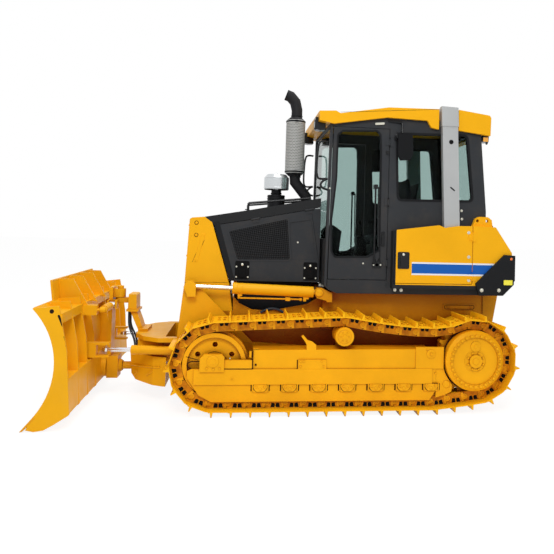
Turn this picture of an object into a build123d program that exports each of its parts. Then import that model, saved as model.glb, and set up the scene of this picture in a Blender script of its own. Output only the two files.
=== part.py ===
"""Crawler dozer with a cab and a power angle and tilt blade, in millimetres.

Frame: +X forward, +Y to the left, +Z up. The origin is on the ground, midway between the
blade's cutting edge and the rear corner guards, in the plane of symmetry.
"""
from build123d import *
import math
import os

# ---- tracks ------------------------------------------------------------------------------
track_gauge = 1575          # between the centre lines of the two tracks
shoe_width = 406
shoe_count = 41
pin_to_shoe = 48            # from a track pin out to the back of the shoe plate
shoe_plate = 9
grouser_height = 45
rail_depth = 47             # from a track pin in to the rail that the wheels run on
rail_width = 32
rail_gap = 104              # between the two rails, where the sprocket's teeth run
pin_line_height = pin_to_shoe + shoe_plate + grouser_height
run_clearance = 1.0         # between the wheels and the chain
# window in each link, as a share of its length and out from the pin line
link_window = [(0.33, 34), (0.67, 34), (0.62, 8), (0.38, 8)]

idler_x = 700
idler_pin_radius = 347
idler_hole_circle = 178
idler_hole_radius = 24
idler_hole_count = 6
sprocket_x = -1759
sprocket_z = 497
sprocket_pin_radius = 345
sprocket_teeth = 25
sprocket_leave_angle = 28   # degrees in front of the top, where the chain leaves the sprocket
carrier_x = -494
carrier_radius = 88
carrier_pin_height = 856    # height of the chain's pins above the carrier roller
roller_first_x = 277
roller_last_x = sprocket_x + 416
roller_count = 7
roller_spacing = (roller_first_x - roller_last_x) / (roller_count - 1)
roller_radius = 90
final_drive_radius = 287
final_drive_face_y = track_gauge / 2 + 182.5
final_drive_bevel = 25
final_drive_cap_radius = 62

# ---- track frames ------------------------------------------------------------------------
track_frame_width = 225
frame_inner_y = (track_gauge - track_frame_width) / 2
frame_outer_y = (track_gauge + track_frame_width) / 2
frame_top_z = 600
frame_ledge_z = 417
frame_bottom_z = 276         # lower edge of the side plates' ledge
frame_floor_z = 350          # underside of the box, over the rollers
guard_bottom_z = 118
frame_front_x = 350
frame_rear_x = -1390
fork_front_x = 940
side_plate = 22
bearing_outline = [(610, 395), (610, 530), (634, 554), (790, 554), (829, 515), (829, 395)]
slider_x = (359, 612)
slider_z = (416, 499)
roller_cap_half = 67
roller_cap_low_z = 205
rear_block_x = (-1462, -1186)
rear_block_z = (416, 620)
bracket_plate = [(-329, 414), (-329, 504), (-66, 504), (-66, 414)]
bracket_upright = [
    (-231, 590), (-231, 637), (-190, 668), (-150, 680), (-105, 730),
    (-90, 715), (-130, 660), (-141, 637), (-141, 590),
]

# ---- main frame and engine ---------------------------------------------------------------
track_inner_y = (track_gauge - shoe_width) / 2
arm_to_track = 77.5         # room between a push arm and the track
arm_width = 60
arm_to_body = 7
arm_outer_y = track_inner_y - arm_to_track
arm_inner_y = arm_outer_y - arm_width
body_half_width = arm_inner_y - arm_to_body     # nose, hood and front of the main frame
rear_half_width = body_half_width + 60          # main frame under the cab
belly_z = 400
cradle_top_z = 700
side_plate_top_z = 883       # lowest point of the side plates' curved upper edge
front_x = 870
nose_foot_x = front_x + 24
rear_x = -2106
deck_z = 1094               # underside of the cab's sill
sill_height = 66
floor_z = deck_z + sill_height
rear_core_x = -560           # step up from the belly to the cradle
cradle_rear_x = -340
side_plate_outline = [
    (cradle_rear_x, cradle_top_z - 1), (front_x, cradle_top_z - 1), (nose_foot_x, 744),
    (nose_foot_x, side_plate_top_z), (555, side_plate_top_z), (555, 1030), (493, 960), (371, 901),
    (199, side_plate_top_z + 2), (-176, 958), (-267, 1010), (cradle_rear_x, 1040),
]
slot_pad_x = (-1919, -1577)
slot_pad_z = (924, 987)

winch_bolts_y = 360          # across, between the bolt holes in the rear face
winch_bolts_z = 120
winch_bolt_radius = 11
winch_bolt_depth = 45
winch_centre_z = 680
drawbar_hole_radius = 21
drawbar_reach = 90           # behind the main frame
drawbar_z = 455
drawbar_half_width = 70
drawbar_half_height = 25

# ---- hood --------------------------------------------------------------------------------
nose_bottom = (1048, 744)
nose_top = (1001, 1780)
nose_brow = (978, 1795)      # where the nose's front turns into its top
hood_front = (857, 1806)
hood_middle = (418, 1886)
hood_rear = (-293, 2029)
seam_top = (783, 1752)
seam_bottom = (599, 1154)
door_bottom_z = 1180
hood_side_depth = 95
sheet = 25
grille_margin = 75           # from the nose's side to the grille's opening
grille_low_z, grille_high_z = 840, 1700
grille_bars = 13
nose_bar = [(845, 1636), (875, 1641), (948, 1366), (918, 1360)]
door_recess = [(14, 1771), (-200, 1809), (-254, 1400), (2, 1394)]
door_recess_depth = 8
grab_rail_front = (434, 1958)
grab_rail_rear = (-188, 2026)
grab_rail_y = 350
grab_rail_radius = 11

# ---- intake and exhaust ------------------------------------------------------------------
exhaust_x, exhaust_y = -35, 160
muffler_radius = 100
muffler_bottom_z, muffler_top_z = 2262, 2880
muffler_cone = 35
stack_radius = 57
stack_line = [(-43, 2875), (-43, 2960), (-22, 3045), (28, 3100), (75, 3117)]    # x and z
elbow_radius = 55
elbow_line = [(-40, 2270), (-45, 2200), (-163, 2055), (-175, 1950)]
precleaner_x, precleaner_y = 147, 140
collar_radius = 90
collar_top_z = 2057
neck_pipe_radius = 52
bowl_radius = 130
bowl_bottom_z, bowl_top_z = 2119, 2273
bowl_lid = 35

# ---- cab ---------------------------------------------------------------------------------
cab_half_width = 650
cab_wall = 55
cab_front_wall = 25
cab_front_x = -319           # face of the front wall at the floor
cab_front_top_x = -342       # and at the top of the walls
door_rear_x = -935
pillar_rear_x = -999
cab_rear_x = -1956
cab_rear_top_x = -1877
cab_top_z = 2845             # top of the walls, under the roof
header_z = cab_top_z - 110   # underside of the rail over the doors and windows
windscreen_low_z = 1620
rear_window_low_z = 2040
door_bottom = 1233
door_gap = 6
door_front_gap = 8
front_pillar = 60             # either side of the windscreen
rear_pillar = 90
rear_bend_z = 1940           # where the rear wall starts to lean
window_corner = 45
cab_glass_thickness = 6
seat_half_width = 250
cushion_z = (1560, 1680)
seat_back_outline = [(-1290, 1680), (-1200, 1680), (-1290, 2280), (-1370, 2280)]
armrest_z = 1840
dash_top = [(-390, 1700), (-450, 1760), (-540, 1700)]
side_console_z = 1640
roof_half_width = cab_half_width + 40
roof_skirt_gap = 4
roof_front_x = -222
roof_rear_x = -1978
rops_front_top_x = -1452
rops_width = 160
rops_lean = 48
rops_y = cab_half_width + roof_skirt_gap + 1
rops_depth = 60
rops_top_z = cab_top_z + 128
rops_foot_z = 1775
rops_sleeve = 6              # how far the sleeve stands out from the post
rops_sleeve_z = 2781
rops_beam_height = 110
rops_gap = 22                # from the arch to the roof's edges
front_lamp_y = (480, 600)
rear_lamp_y = (520, 645)

# ---- rear body ---------------------------------------------------------------------------
rear_body_y = cab_half_width + 100
rear_door_front_x = -995
rear_door_rear_x = -1782
rear_door_bottom_z = 1213
rear_door_thickness = 30
rops_bottom_z = rear_door_bottom_z - door_gap
tank_top_z = 1790
tank_shoulder_x = -2024
tank_rear_x = -2199
tank_slope_z = 1531
rear_door_top = [
    (rear_door_front_x, 1728), (-1440, 1788), (-1500, 1764), (-1640, 1786), (rear_door_rear_x, 1788),
]
lug_outline = [(-1800, 1788), (-1830, 1865), (-1870, 1885), (-1960, 1885), (-2000, 1855), (-2010, 1782)]
lug_holes_x = (-1850, -1950)
lug_holes_z = 1845
lug_hole_radius = 16
overall_rear_x = -2222
guard_thickness = 30
guard_outline = [
    (-2112, 1512), (overall_rear_x, 1505), (-2212, 1216), (-2099, 1105), (-1850, 1105), (-1816, 1219),
]

# ---- blade lift linkage ------------------------------------------------------------------
lift_pivot = (-430, 450)
trunnion_radius = 45
lift_eye = (963, 1134)
shelf_top_z = 631
shelf_bottom_z = 590         # clear of the angle cylinders as they pitch
shelf_half_width = arm_outer_y + 33
lift_rear_pin = (-280, 1090)
lift_cylinder_y = arm_outer_y + 48
lift_barrel_radius = 53.5
lift_rod_radius = 22
lift_rear_pin_radius = 24
lift_barrel_end = 843       # from the rear pin to the front of the barrel
ear_plate = 18
eye_half_width = 25
eye_side_gap = 5
casting_low_z, casting_top_z = 160, 439
casting_side = [(1100, 157), (1171, 157), (1488, 177), (1538, 226), (1558, 440), (1100, 440)]
tower_column = [(1440, 592), (1483, 723), (1527, 836), (1590, 836), (1540, 720), (1500, 632), (1497, 592)]
tower_pad_x = (1400, 1497)
tower_flange_x = (1505, 1622)
tower_head_z = 836
tower_head = [(1522, 835), (1527, 991), (1540, 1000), (1604, 1000), (1610, 835)]
tower_arm_z = (905, 955)
tower_pin_top_z = 1075
upright_outline = [(351, 590), (905, 1150), (940, 1185), (1000, 1185), (1030, 1100), (1080, 600)]

# ---- blade angle and tilt linkage --------------------------------------------------------
ball_x = 1705
ball_z = 261
ball_radius = 70
neck_radius = 38
yoke_back_x = 1765
yoke_front_x = 1800
yoke_half_width = 90
yoke_half_height = 110
yoke_top_z = 1065
yoke_eye_height = 85
tilt_pin_radius = 60
tilt_gap = 5
pin_fit = 0.05              # radial running clearance of a pin in its bore
tower_pin_radius = 30
angle_rear_pin = (960, arm_outer_y + 23)    # x and y
angle_eye_x = 1740
angle_z = 511
angle_eye_y = arm_outer_y - 27      # centre of the fork on the blade
angle_barrel_radius = 42
angle_eye_drift = 14        # the rod's eye lies inboard of the fork's centre
angle_web = 17
angle_rod_radius = 20
angle_barrel_end = 1501
tilt_x = 1755
tilt_z = 900
tilt_eye_y = 150
tilt_rear_y = 580
tilt_barrel_end = 290       # from the rear pin to the front of the barrel
small_pin_radius = 14
tilt_barrel_radius = 38
tilt_rod_radius = 18

# ---- hoses -------------------------------------------------------------------------------
hose_radius = 11
hose_collar_radius = 16
hose_collar_length = 18
frame_hose_y = body_half_width + 18
frame_hose_line = [(282, 872), (236, 915), (165, 934), (94, 915), (40, 868)]       # x and z
tower_hose_route = [(1606, 46, 826), (1606, 46, 745), (1600, 50, 655), (1530, 64, 520), (1530, 64, 439)]

# ---- blade -------------------------------------------------------------------------------
blade_half_width = 1320
blade_top = (2159, 1001)
blade_middle = (1974, 539)
blade_low = (2122, 122)
blade_tip = (2222, 4)
blade_plate = 18
end_plate = 22
raise_top = (2182, 1188)
raise_half_width = 780
edge_thickness = 20
blade_back = [
    (2175, 20), (2110, 6), (2036, 17), (1955, 62), (1847, 132), (1839, 141),
    (1879, 653), (1934, 929), (1953, 1027),
]
low_box_outline = [
    (1990, 430), (1860, 430), (1845, 141), (1955, 64), (2036, 30), (2110, 60), (2125, 110), (2060, 260),
]
high_box_x = (1930, 2150)
high_box_z = (880, 960)
blade_clear_x = 2400         # ahead of the blade
rib_y = (330, 640, 960)
gusset_y = (200, 560)
rib_plate = 20

# ---- cylinders ---------------------------------------------------------------------------
cylinder_base = 25          # from a barrel's rear eye to the bottom of its bore
cylinder_base_gap = 5
lift_retract = 200
angle_retract = 210
tilt_retract = 90


# ---- small builders ----------------------------------------------------------------------
def block(x0, x1, y0, y1, z0, z1):
    """Box between the given limits."""
    centre = ((x0 + x1) / 2, (y0 + y1) / 2, (z0 + z1) / 2)
    return Pos(*centre) * Box(abs(x1 - x0), abs(y1 - y0), abs(z1 - z0))


def xz_face(points, y):
    """Flat face of an outline of (x, z) points."""
    return make_face(Polyline([(x, y, z) for x, z in points], close=True))


def side_slab(points, y0, y1, corner=0):
    """Closed outline of (x, z) points, extruded from y0 to y1, its corners rounded if asked."""
    face = xz_face(points, y0)
    if corner:
        face = fillet(face.vertices(), corner)
    return extrude(face, amount=y1 - y0, dir=(0, 1, 0))


def plan_slab(points, z0, z1):
    """Closed outline of (x, y) points, extruded from z0 to z1."""
    outline = Polyline([(x, y, z0) for x, y in points], close=True)
    return extrude(make_face(outline), amount=z1 - z0, dir=(0, 0, 1))


def rod_along(start, end, radius):
    """Cylinder from start to end."""
    start, end = Vector(start), Vector(end)
    plane = Plane(origin=start, z_dir=end - start)
    return plane * Cylinder(radius, (end - start).length, align=(Align.CENTER, Align.CENTER, Align.MIN))


def shaft_y(x, z, y0, y1, radius):
    """Cylinder along Y at (x, z)."""
    return rod_along((x, y0, z), (x, y1, z), radius)


def shaft_x(y, z, x0, x1, radius):
    """Cylinder along X at (y, z)."""
    return rod_along((x0, y, z), (x1, y, z), radius)


def shaft_z(x, y, z0, z1, radius):
    """Cylinder along Z at (x, y)."""
    return rod_along((x, y, z0), (x, y, z1), radius)


def mirrored(shape):
    """The same shape on the other side of the plane of symmetry."""
    return mirror(shape, about=Plane.XZ)


def both_sides(shape):
    return shape + mirrored(shape)


def symmetric_plan(points):
    """Closed (x, y) outline from the left half's points, front to rear or rear to front."""
    return points + [(x, -y) for x, y in reversed(points)]


def save(name, shape):
    export_step(shape, os.path.join("parts", name + ".step"))


def save_pair(name, left_shape):
    save(name + "_left", left_shape)
    save(name + "_right", mirrored(left_shape))


def moved(point, along, distance):
    """Point (x, z) shifted along a direction (x, z) of any length."""
    size = math.hypot(*along)
    return (point[0] + along[0] * distance / size, point[1] + along[1] * distance / size)


# ---- pin hinges of the doors -------------------------------------------------------------
hinge_radius = 8
hinge_pin_radius = 4
hinge_half_length = 30      # of the door's knuckle
hinge_boss_length = 14
hinge_standoff = 9          # from the panel's face out to the hinge's axis
hinge_leaf = 6
hinge_reach = 40
hinge_end_gap = 0.5


def hinge(point, axis, to_door):
    """Fixed and moving halves of a hinge that lies on the outer faces of a panel and a door."""
    place = Plane(origin=point, x_dir=to_door, z_dir=axis)
    h, far = hinge_half_length, hinge_half_length + hinge_boss_length
    y0, y1 = -hinge_standoff, hinge_leaf - hinge_standoff
    middle = (Align.CENTER, Align.CENTER, Align.CENTER)
    knuckle = Cylinder(hinge_radius, 2 * h, align=middle) + block(0, hinge_reach, y0, y1, -h, h)
    knuckle -= Cylinder(hinge_pin_radius + pin_fit, 3 * h, align=middle)
    fixed = Cylinder(hinge_pin_radius, 2 * far, align=middle)
    fixed += block(-hinge_reach, -hinge_radius - 2, y0, y1, -far, far)
    for side in (-1, 1):
        boss = block(-hinge_radius - 3, 0, y0, y1, h + hinge_end_gap, far)
        boss += shaft_z(0, 0, h + hinge_end_gap, far, hinge_radius)
        fixed += boss if side > 0 else mirror(boss, about=Plane.XY)
    return place * fixed, place * knuckle


# ---- chain: the closed line of the track's pins, seen from the side ----------------------
idler_z = pin_line_height + idler_pin_radius


def arc_points(centre, radius, start, end, count=60):
    """Points (x, z) on an arc, angles in degrees from +X towards +Z."""
    steps = [start + (end - start) * i / count for i in range(count + 1)]
    return [
        (centre[0] + radius * math.cos(math.radians(a)), centre[1] + radius * math.sin(math.radians(a)))
        for a in steps
    ]


def tangent_angle(point, centre, radius, side):
    """Angle in degrees of the point where a line from point touches the circle."""
    dx, dz = point[0] - centre[0], point[1] - centre[1]
    return math.degrees(math.atan2(dz, dx) + side * math.acos(radius / math.hypot(dx, dz)))


def hermite(p0, t0, p1, t1, count=40):
    """Smooth curve between two points with the given end tangents."""
    points = []
    for i in range(1, count):
        u = i / count
        a, b = 2 * u**3 - 3 * u**2 + 1, u**3 - 2 * u**2 + u
        c, d = -2 * u**3 + 3 * u**2, u**3 - u**2
        points.append(tuple(a * p0[k] + b * t0[k] + c * p1[k] + d * t1[k] for k in (0, 1)))
    return points


def pin_path():
    """Dense points along the chain's pin line, running forward on the ground."""
    last_roller = (roller_last_x, pin_line_height)
    idler, sprocket = (idler_x, idler_z), (sprocket_x, sprocket_z)
    carrier = (carrier_x, carrier_pin_height)
    idler_end = tangent_angle(carrier, idler, idler_pin_radius, -1)
    idler_arc = arc_points(idler, idler_pin_radius, -90, idler_end)
    leave = 90 - sprocket_leave_angle
    rise = tangent_angle(last_roller, sprocket, sprocket_pin_radius, -1)
    sprocket_arc = arc_points(sprocket, sprocket_pin_radius, leave, 360 + rise)
    top = idler_arc[-1]
    reach = carrier[0] - sprocket_arc[0][0]
    down = (carrier[0] - top[0], carrier[1] - top[1])
    slope = math.atan2(-down[1], -down[0]) / 2
    start = (-reach * math.cos(slope), -abs(reach * math.sin(slope)) - reach * 0.16)
    lift = math.radians(sprocket_leave_angle)
    end = (-reach * 0.55 * math.cos(lift), reach * 0.55 * math.sin(lift))
    sag = hermite(carrier, start, sprocket_arc[0], end)
    return [last_roller] + idler_arc + [carrier] + sag + sprocket_arc + [last_roller]


def spaced_pins(path, count):
    """Points at equal distances along the path."""
    lengths = [0.0]
    for a, b in zip(path, path[1:]):
        lengths.append(lengths[-1] + math.dist(a, b))
    pins, k = [], 0
    for i in range(count):
        target = lengths[-1] * i / count
        while lengths[k + 1] < target:
            k += 1
        u = (target - lengths[k]) / (lengths[k + 1] - lengths[k])
        a, b = path[k], path[k + 1]
        pins.append((a[0] + (b[0] - a[0]) * u, a[1] + (b[1] - a[1]) * u))
    return pins


track_pins = spaced_pins(pin_path(), shoe_count)
track_pitch = math.dist(track_pins[1], track_pins[2])
idler_tread_radius = idler_pin_radius * math.cos(math.asin(track_pitch / 2 / idler_pin_radius)) - rail_depth


def link_frames():
    """For each link: its pin, the direction along it and the direction outwards."""
    frames = []
    for i, pin in enumerate(track_pins):
        after = track_pins[(i + 1) % shoe_count]
        size = math.dist(pin, after)
        along = ((after[0] - pin[0]) / size, (after[1] - pin[1]) / size)
        frames.append((pin, along, (along[1], -along[0]), size))
    return frames


def offset_corner(before, here, distance):
    """Where the offset lines of two neighbouring links meet."""
    nx, nz = before[2][0] + here[2][0], before[2][1] + here[2][1]
    scale = distance * 2 / (nx * nx + nz * nz)
    return (here[0][0] + nx * scale, here[0][1] + nz * scale)


def chain_offset(distance):
    """One point a pin, on the line at this distance outside the pin line."""
    frames = link_frames()
    return [offset_corner(frames[i - 1], frames[i], distance) for i in range(shoe_count)]


def shoe_outline():
    """Outer outline of the shoes with one grouser on each."""
    plate_out = pin_to_shoe + shoe_plate
    tip = plate_out + grouser_height
    # along the link as a share of its length, and out from the pin line
    profile = [(0.04, plate_out), (0.74, plate_out), (0.79, tip), (0.85, tip), (0.90, plate_out)]
    points = []
    for pin, along, out, size in link_frames():
        for share, rise in profile:
            s = share * size
            points.append((pin[0] + along[0] * s + out[0] * rise, pin[1] + along[1] * s + out[1] * rise))
    return points


def link_windows():
    """Outline of the window in each link."""
    windows = []
    for pin, along, out, size in link_frames():
        window = []
        for share, rise in link_window:
            step = share * size
            window.append(moved(moved(pin, along, step), out, rise))
        windows.append(window)
    return windows


def ring_slab(outer, inner, y0, y1):
    """Closed loop between two outlines."""
    return side_slab(outer, y0, y1) - side_slab(inner, y0 - 1, y1 + 1)


def track():
    """Shoes with grousers and the two rails of links with their windows, as one closed loop."""
    middle = track_gauge / 2
    back_of_shoes = chain_offset(pin_to_shoe)
    rail_line = chain_offset(-rail_depth)
    shoes = ring_slab(shoe_outline(), back_of_shoes, middle - shoe_width / 2, middle + shoe_width / 2)
    rail = rail_gap / 2
    left_y, right_y = middle + rail, middle - rail - rail_width
    loop = xz_face(back_of_shoes, 0) - xz_face(rail_line, 0)
    loop -= [xz_face(window, 0) for window in link_windows()]
    rails = [extrude(Pos(0, y, 0) * loop, amount=rail_width, dir=(0, 1, 0)) for y in (left_y, right_y)]
    return shoes + rails[0] + rails[1]


# ---- wheels of the undercarriage ---------------------------------------------------------
def idlers():
    """Front wheels: a flat tread each side of a centre flange, dished in, with holes and a hub."""
    middle = track_gauge / 2
    tread = idler_tread_radius - run_clearance
    half_width = rail_gap / 2 + rail_width
    y0, y1 = middle - half_width, middle + half_width
    wheel = shaft_y(idler_x, idler_z, y0, y1, tread)
    wheel += shaft_y(idler_x, idler_z, middle - 38, middle + 38, tread + 22)
    dish = shaft_y(idler_x, idler_z, y0 - 1, y0 + 40, tread - 40)
    dish += shaft_y(idler_x, idler_z, y1 - 40, y1 + 1, tread - 40)
    for i in range(idler_hole_count):
        turn = math.radians(360 * (i + 0.5) / idler_hole_count)
        x = idler_x + idler_hole_circle * math.cos(turn)
        z = idler_z + idler_hole_circle * math.sin(turn)
        dish += shaft_y(x, z, y0, y1, idler_hole_radius)
    hub = shaft_y(idler_x, idler_z, y0 - 6, y1 + 6, 70)
    return both_sides(wheel - dish + hub)


def rollers():
    """Seven track rollers and one carrier roller a side, with flanges outside the rails."""
    middle = track_gauge / 2
    half_rail = rail_gap / 2 + rail_width
    result = Part()
    rail_top = pin_line_height + rail_depth
    for i in range(roller_count):
        x = roller_first_x - roller_spacing * i
        z = rail_top + roller_radius
        tread = roller_radius - run_clearance
        result += shaft_y(x, z, frame_inner_y + side_plate, frame_outer_y - side_plate, tread)
        result += shaft_y(x, z, middle - 40, middle + 40, tread + 14)
    carrier_z = carrier_pin_height - rail_depth - carrier_radius - 4
    result += shaft_y(carrier_x, carrier_z, middle - half_rail, middle + half_rail + 50, carrier_radius)
    result += shaft_y(carrier_x, carrier_z, frame_inner_y - 14, middle - half_rail, 40)
    return both_sides(result)


def sprockets():
    """Toothed rings on the final drives, each with its round cover and cap."""
    middle = track_gauge / 2
    root = sprocket_pin_radius - 34
    tip = sprocket_pin_radius + 10
    step = 360 / sprocket_teeth
    profile = []
    for i in range(sprocket_teeth):
        centre = 180 + step * (i + 0.5)
        # share of the step from the tooth's middle, and radius
        for turn, radius in ((-0.36, root), (-0.12, tip), (0.12, tip), (0.36, root)):
            a = math.radians(centre + turn * step)
            profile.append((sprocket_x + radius * math.cos(a), sprocket_z + radius * math.sin(a)))
    ring = side_slab(profile, middle - 30, middle + 30)
    face = final_drive_face_y
    rim_y = face - final_drive_bevel
    drum = shaft_y(sprocket_x, sprocket_z, rear_half_width + 110, rim_y, final_drive_radius)
    bevel = Plane(origin=(sprocket_x, rim_y - 1, sprocket_z), z_dir=(0, 1, 0)) * Cone(
        final_drive_radius, final_drive_radius - 30, final_drive_bevel + 1,
        align=(Align.CENTER, Align.CENTER, Align.MIN),
    )
    recess = shaft_y(sprocket_x, sprocket_z, face - 12, face + 1, final_drive_radius - 62)
    cap = shaft_y(sprocket_x, sprocket_z, face - 14, face + 6, final_drive_cap_radius)
    housing = shaft_y(sprocket_x, sprocket_z, rear_half_width, rear_half_width + 110, 220)
    return both_sides(ring + drum + bevel - recess + cap + housing)


def track_frames():
    """Box beams on side plates that carry the rollers and, in front, the idlers."""
    rear = frame_rear_x
    body = side_slab(
        [
            (rear, frame_floor_z), (frame_front_x, frame_floor_z), (frame_front_x, frame_top_z - 10),
            (rear + 60, frame_top_z), (rear, frame_top_z - 60),
        ],
        frame_inner_y + side_plate - 1, frame_outer_y - side_plate + 1,
    )
    front = fork_front_x
    plate = side_slab(
        [
            (rear, frame_ledge_z), (rear, guard_bottom_z + 90), (rear + 60, guard_bottom_z),
            (front - 220, guard_bottom_z), (front - 110, guard_bottom_z + 60), (front, frame_bottom_z + 60),
            (front, frame_ledge_z - 20), (front - 40, frame_ledge_z), (frame_front_x, frame_ledge_z),
            (frame_front_x, frame_top_z - 10), (rear + 60, frame_top_z), (rear, frame_top_z - 60),
        ],
        frame_outer_y - side_plate, frame_outer_y,
    )
    ledge = block(
        rear + 40, front - 60, frame_outer_y - 1, frame_outer_y + 14, frame_bottom_z, frame_ledge_z,
    )
    bearing = side_slab(bearing_outline, frame_outer_y - side_plate, frame_outer_y + 30)
    slider = block(*slider_x, frame_outer_y - side_plate, frame_outer_y + 12, *slider_z)
    caps = Part()
    for i in range(roller_count):
        x = roller_first_x - roller_spacing * i
        caps += block(
            x - roller_cap_half, x + roller_cap_half, frame_outer_y - 1, frame_outer_y + 9,
            roller_cap_low_z, frame_bottom_z + 1,
        )
    rear_block = block(*rear_block_x, frame_outer_y - side_plate, frame_outer_y + 8, *rear_block_z)
    outer = plate + ledge + bearing + slider + caps + rear_block
    inner = mirror(plate + ledge + bearing, about=Plane.XZ.offset(-(frame_inner_y + frame_outer_y) / 2))
    inner -= block(-3000, 3000, 0, rear_half_width + 111, 0, 1000)
    bracket = side_slab(bracket_plate, frame_outer_y - 1, frame_outer_y + 12)
    bracket += side_slab(bracket_upright, frame_outer_y - side_plate, frame_outer_y)
    arm = block(
        sprocket_x, rear + 40, rear_half_width + 112, frame_inner_y + 2,
        frame_ledge_z - 60, frame_ledge_z + 100,
    )
    whole = body + outer + inner + bracket + arm
    whole -= shaft_y(sprocket_x, sprocket_z, 0, 1000, final_drive_radius + 6)
    tube = shaft_y(lift_pivot[0] - 190, lift_pivot[1], rear_half_width, frame_inner_y + 1, 60)
    post = block(carrier_x - 40, carrier_x + 40, frame_inner_y - 45, frame_inner_y - 14, 480, 760)
    post += block(carrier_x - 40, carrier_x + 40, frame_inner_y - 45, frame_inner_y + 1, 480, 560)
    return both_sides(whole + tube + post)


# ---- main frame --------------------------------------------------------------------------
def hose_collars():
    """Fittings on the side plate at both ends of the hose."""
    result = Part()
    for end, beside in (frame_hose_line[:2], frame_hose_line[:-3:-1]):
        x, z = moved(end, (end[0] - beside[0], end[1] - beside[1]), hose_collar_length)
        result += rod_along((end[0], frame_hose_y, end[1]), (x, frame_hose_y, z), hose_collar_radius)
        x, z = (x + end[0]) / 2, (z + end[1]) / 2
        half = hose_collar_length / 4
        result += block(x - half, x + half, body_half_width - 1, frame_hose_y, z - half, z + half)
    return result


def main_frame():
    """Cradle under the engine, deep box under the cab and the brackets on its sides."""
    cradle = block(cradle_rear_x, front_x, -body_half_width, body_half_width, belly_z + 60, cradle_top_z)
    side = side_slab(side_plate_outline, body_half_width - 30, body_half_width)
    rear_points = [
        (rear_x + 40, belly_z), (rear_core_x, belly_z), (rear_core_x, 720), (-330, 720), (-330, 1050),
        (-420, deck_z), (rear_x - 55, deck_z), (rear_x, 780), (rear_x, belly_z + 180),
    ]
    rear = side_slab(rear_points, -rear_half_width, rear_half_width)
    rear_core = block(rear_core_x, cradle_rear_x, -body_half_width, body_half_width, belly_z, 721)
    slot_pad = block(*slot_pad_x, rear_half_width - 1, rear_half_width + 8, *slot_pad_z)
    x, z = lift_pivot
    trunnion = shaft_y(x, z, body_half_width - 10, arm_outer_y + 5, trunnion_radius)
    trunnion += shaft_y(x, z, arm_outer_y + 5, arm_outer_y + 20, trunnion_radius + 18)
    px, pz = lift_rear_pin
    ear_outline = [
        (px - 130, pz - 90), (px + 20, pz - 52), (px + 50, pz), (px + 20, pz + 46), (px - 30, pz + 46),
        (px - 85, pz + 20), (px - 130, deck_z - 4),
    ]
    inner_ear = side_slab(ear_outline, rear_half_width - 5, lift_cylinder_y - eye_half_width - eye_side_gap)
    ear_y = lift_cylinder_y + eye_half_width + eye_side_gap
    outer_ear = side_slab(ear_outline, ear_y, ear_y + ear_plate)
    back = block(px - 130, px - 75, rear_half_width - 5, ear_y + ear_plate, pz - 90, deck_z - 4)
    pin = shaft_y(px, pz, rear_half_width, ear_y + ear_plate + 6, lift_rear_pin_radius)
    drawbar = block(
        rear_x - drawbar_reach, rear_x + 60, -drawbar_half_width, drawbar_half_width,
        drawbar_z - drawbar_half_height, drawbar_z + drawbar_half_height,
    )
    drawbar -= shaft_z(rear_x - drawbar_reach / 2, 0, 400, 500, drawbar_hole_radius)
    bolts = Part()
    for y in (-winch_bolts_y / 2, winch_bolts_y / 2):
        for z in (winch_centre_z - winch_bolts_z / 2, winch_centre_z + winch_bolts_z / 2):
            bolts += shaft_x(y, z, rear_x - 1, rear_x + winch_bolt_depth, winch_bolt_radius)
    brackets = side + trunnion + inner_ear + outer_ear + back + pin + slot_pad + hose_collars()
    return cradle + rear + rear_core + both_sides(brackets) + drawbar - bolts


def engine():
    """Engine and pump as one plain block."""
    return block(-240, 520, -250, 250, cradle_top_z, 1560)


# ---- nose and hood -----------------------------------------------------------------------
def radiator_guard():
    """Nose with a recessed opening for the grille and a raised bar on each side."""
    profile = [
        nose_bottom, nose_top, nose_brow, hood_front, seam_top, seam_bottom,
        (seam_bottom[0] - 40, side_plate_top_z), (nose_foot_x, side_plate_top_z),
        (nose_foot_x, nose_bottom[1]),
    ]
    shell = side_slab(profile, -body_half_width, body_half_width)
    opening = body_half_width - grille_margin
    recess = block(960, 1100, -opening, opening, grille_low_z, grille_high_z)
    bar = side_slab(nose_bar, body_half_width - 1, body_half_width + 5)
    return shell - recess + both_sides(bar)


def radiator_grille():
    """Frame of upright bars in the nose's opening."""
    y0 = body_half_width - grille_margin
    lean = (nose_top[0] - nose_bottom[0]) / (nose_top[1] - nose_bottom[1])
    z0, z1 = grille_low_z, grille_high_z

    def bar(y, width, low, high):
        x_low = nose_bottom[0] + lean * (low - nose_bottom[1]) - 12
        x_high = nose_bottom[0] + lean * (high - nose_bottom[1]) - 12
        points = [(x_low - 30, low), (x_low, low), (x_high, high), (x_high - 30, high)]
        return side_slab(points, y, y + width)

    grille = bar(-y0, 30, z0, z1) + bar(y0 - 30, 30, z0, z1)
    grille += bar(-y0, 2 * y0, z0, z0 + 30) + bar(-y0, 2 * y0, z1 - 30, z1)
    for i in range(grille_bars):
        y = -y0 + 2 * y0 * (i + 1) / (grille_bars + 1)
        grille += bar(y - 6, 12, z0, z1)
    return grille


def hood_line(x):
    """Height of the hood's top edge at x."""
    line = [hood_front, hood_middle, hood_rear]
    for a, b in zip(line, line[1:]):
        if x >= b[0]:
            return a[1] + (b[1] - a[1]) * (a[0] - x) / (a[0] - b[0])
    return hood_rear[1]


engine_door_axis = (-hood_middle[0] + hood_rear[0], 0, hood_rear[1] - hood_middle[1])
engine_door_axis = tuple(-c for c in engine_door_axis)
engine_hinge_z = hood_middle[1] - hood_side_depth - door_gap / 2


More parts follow.
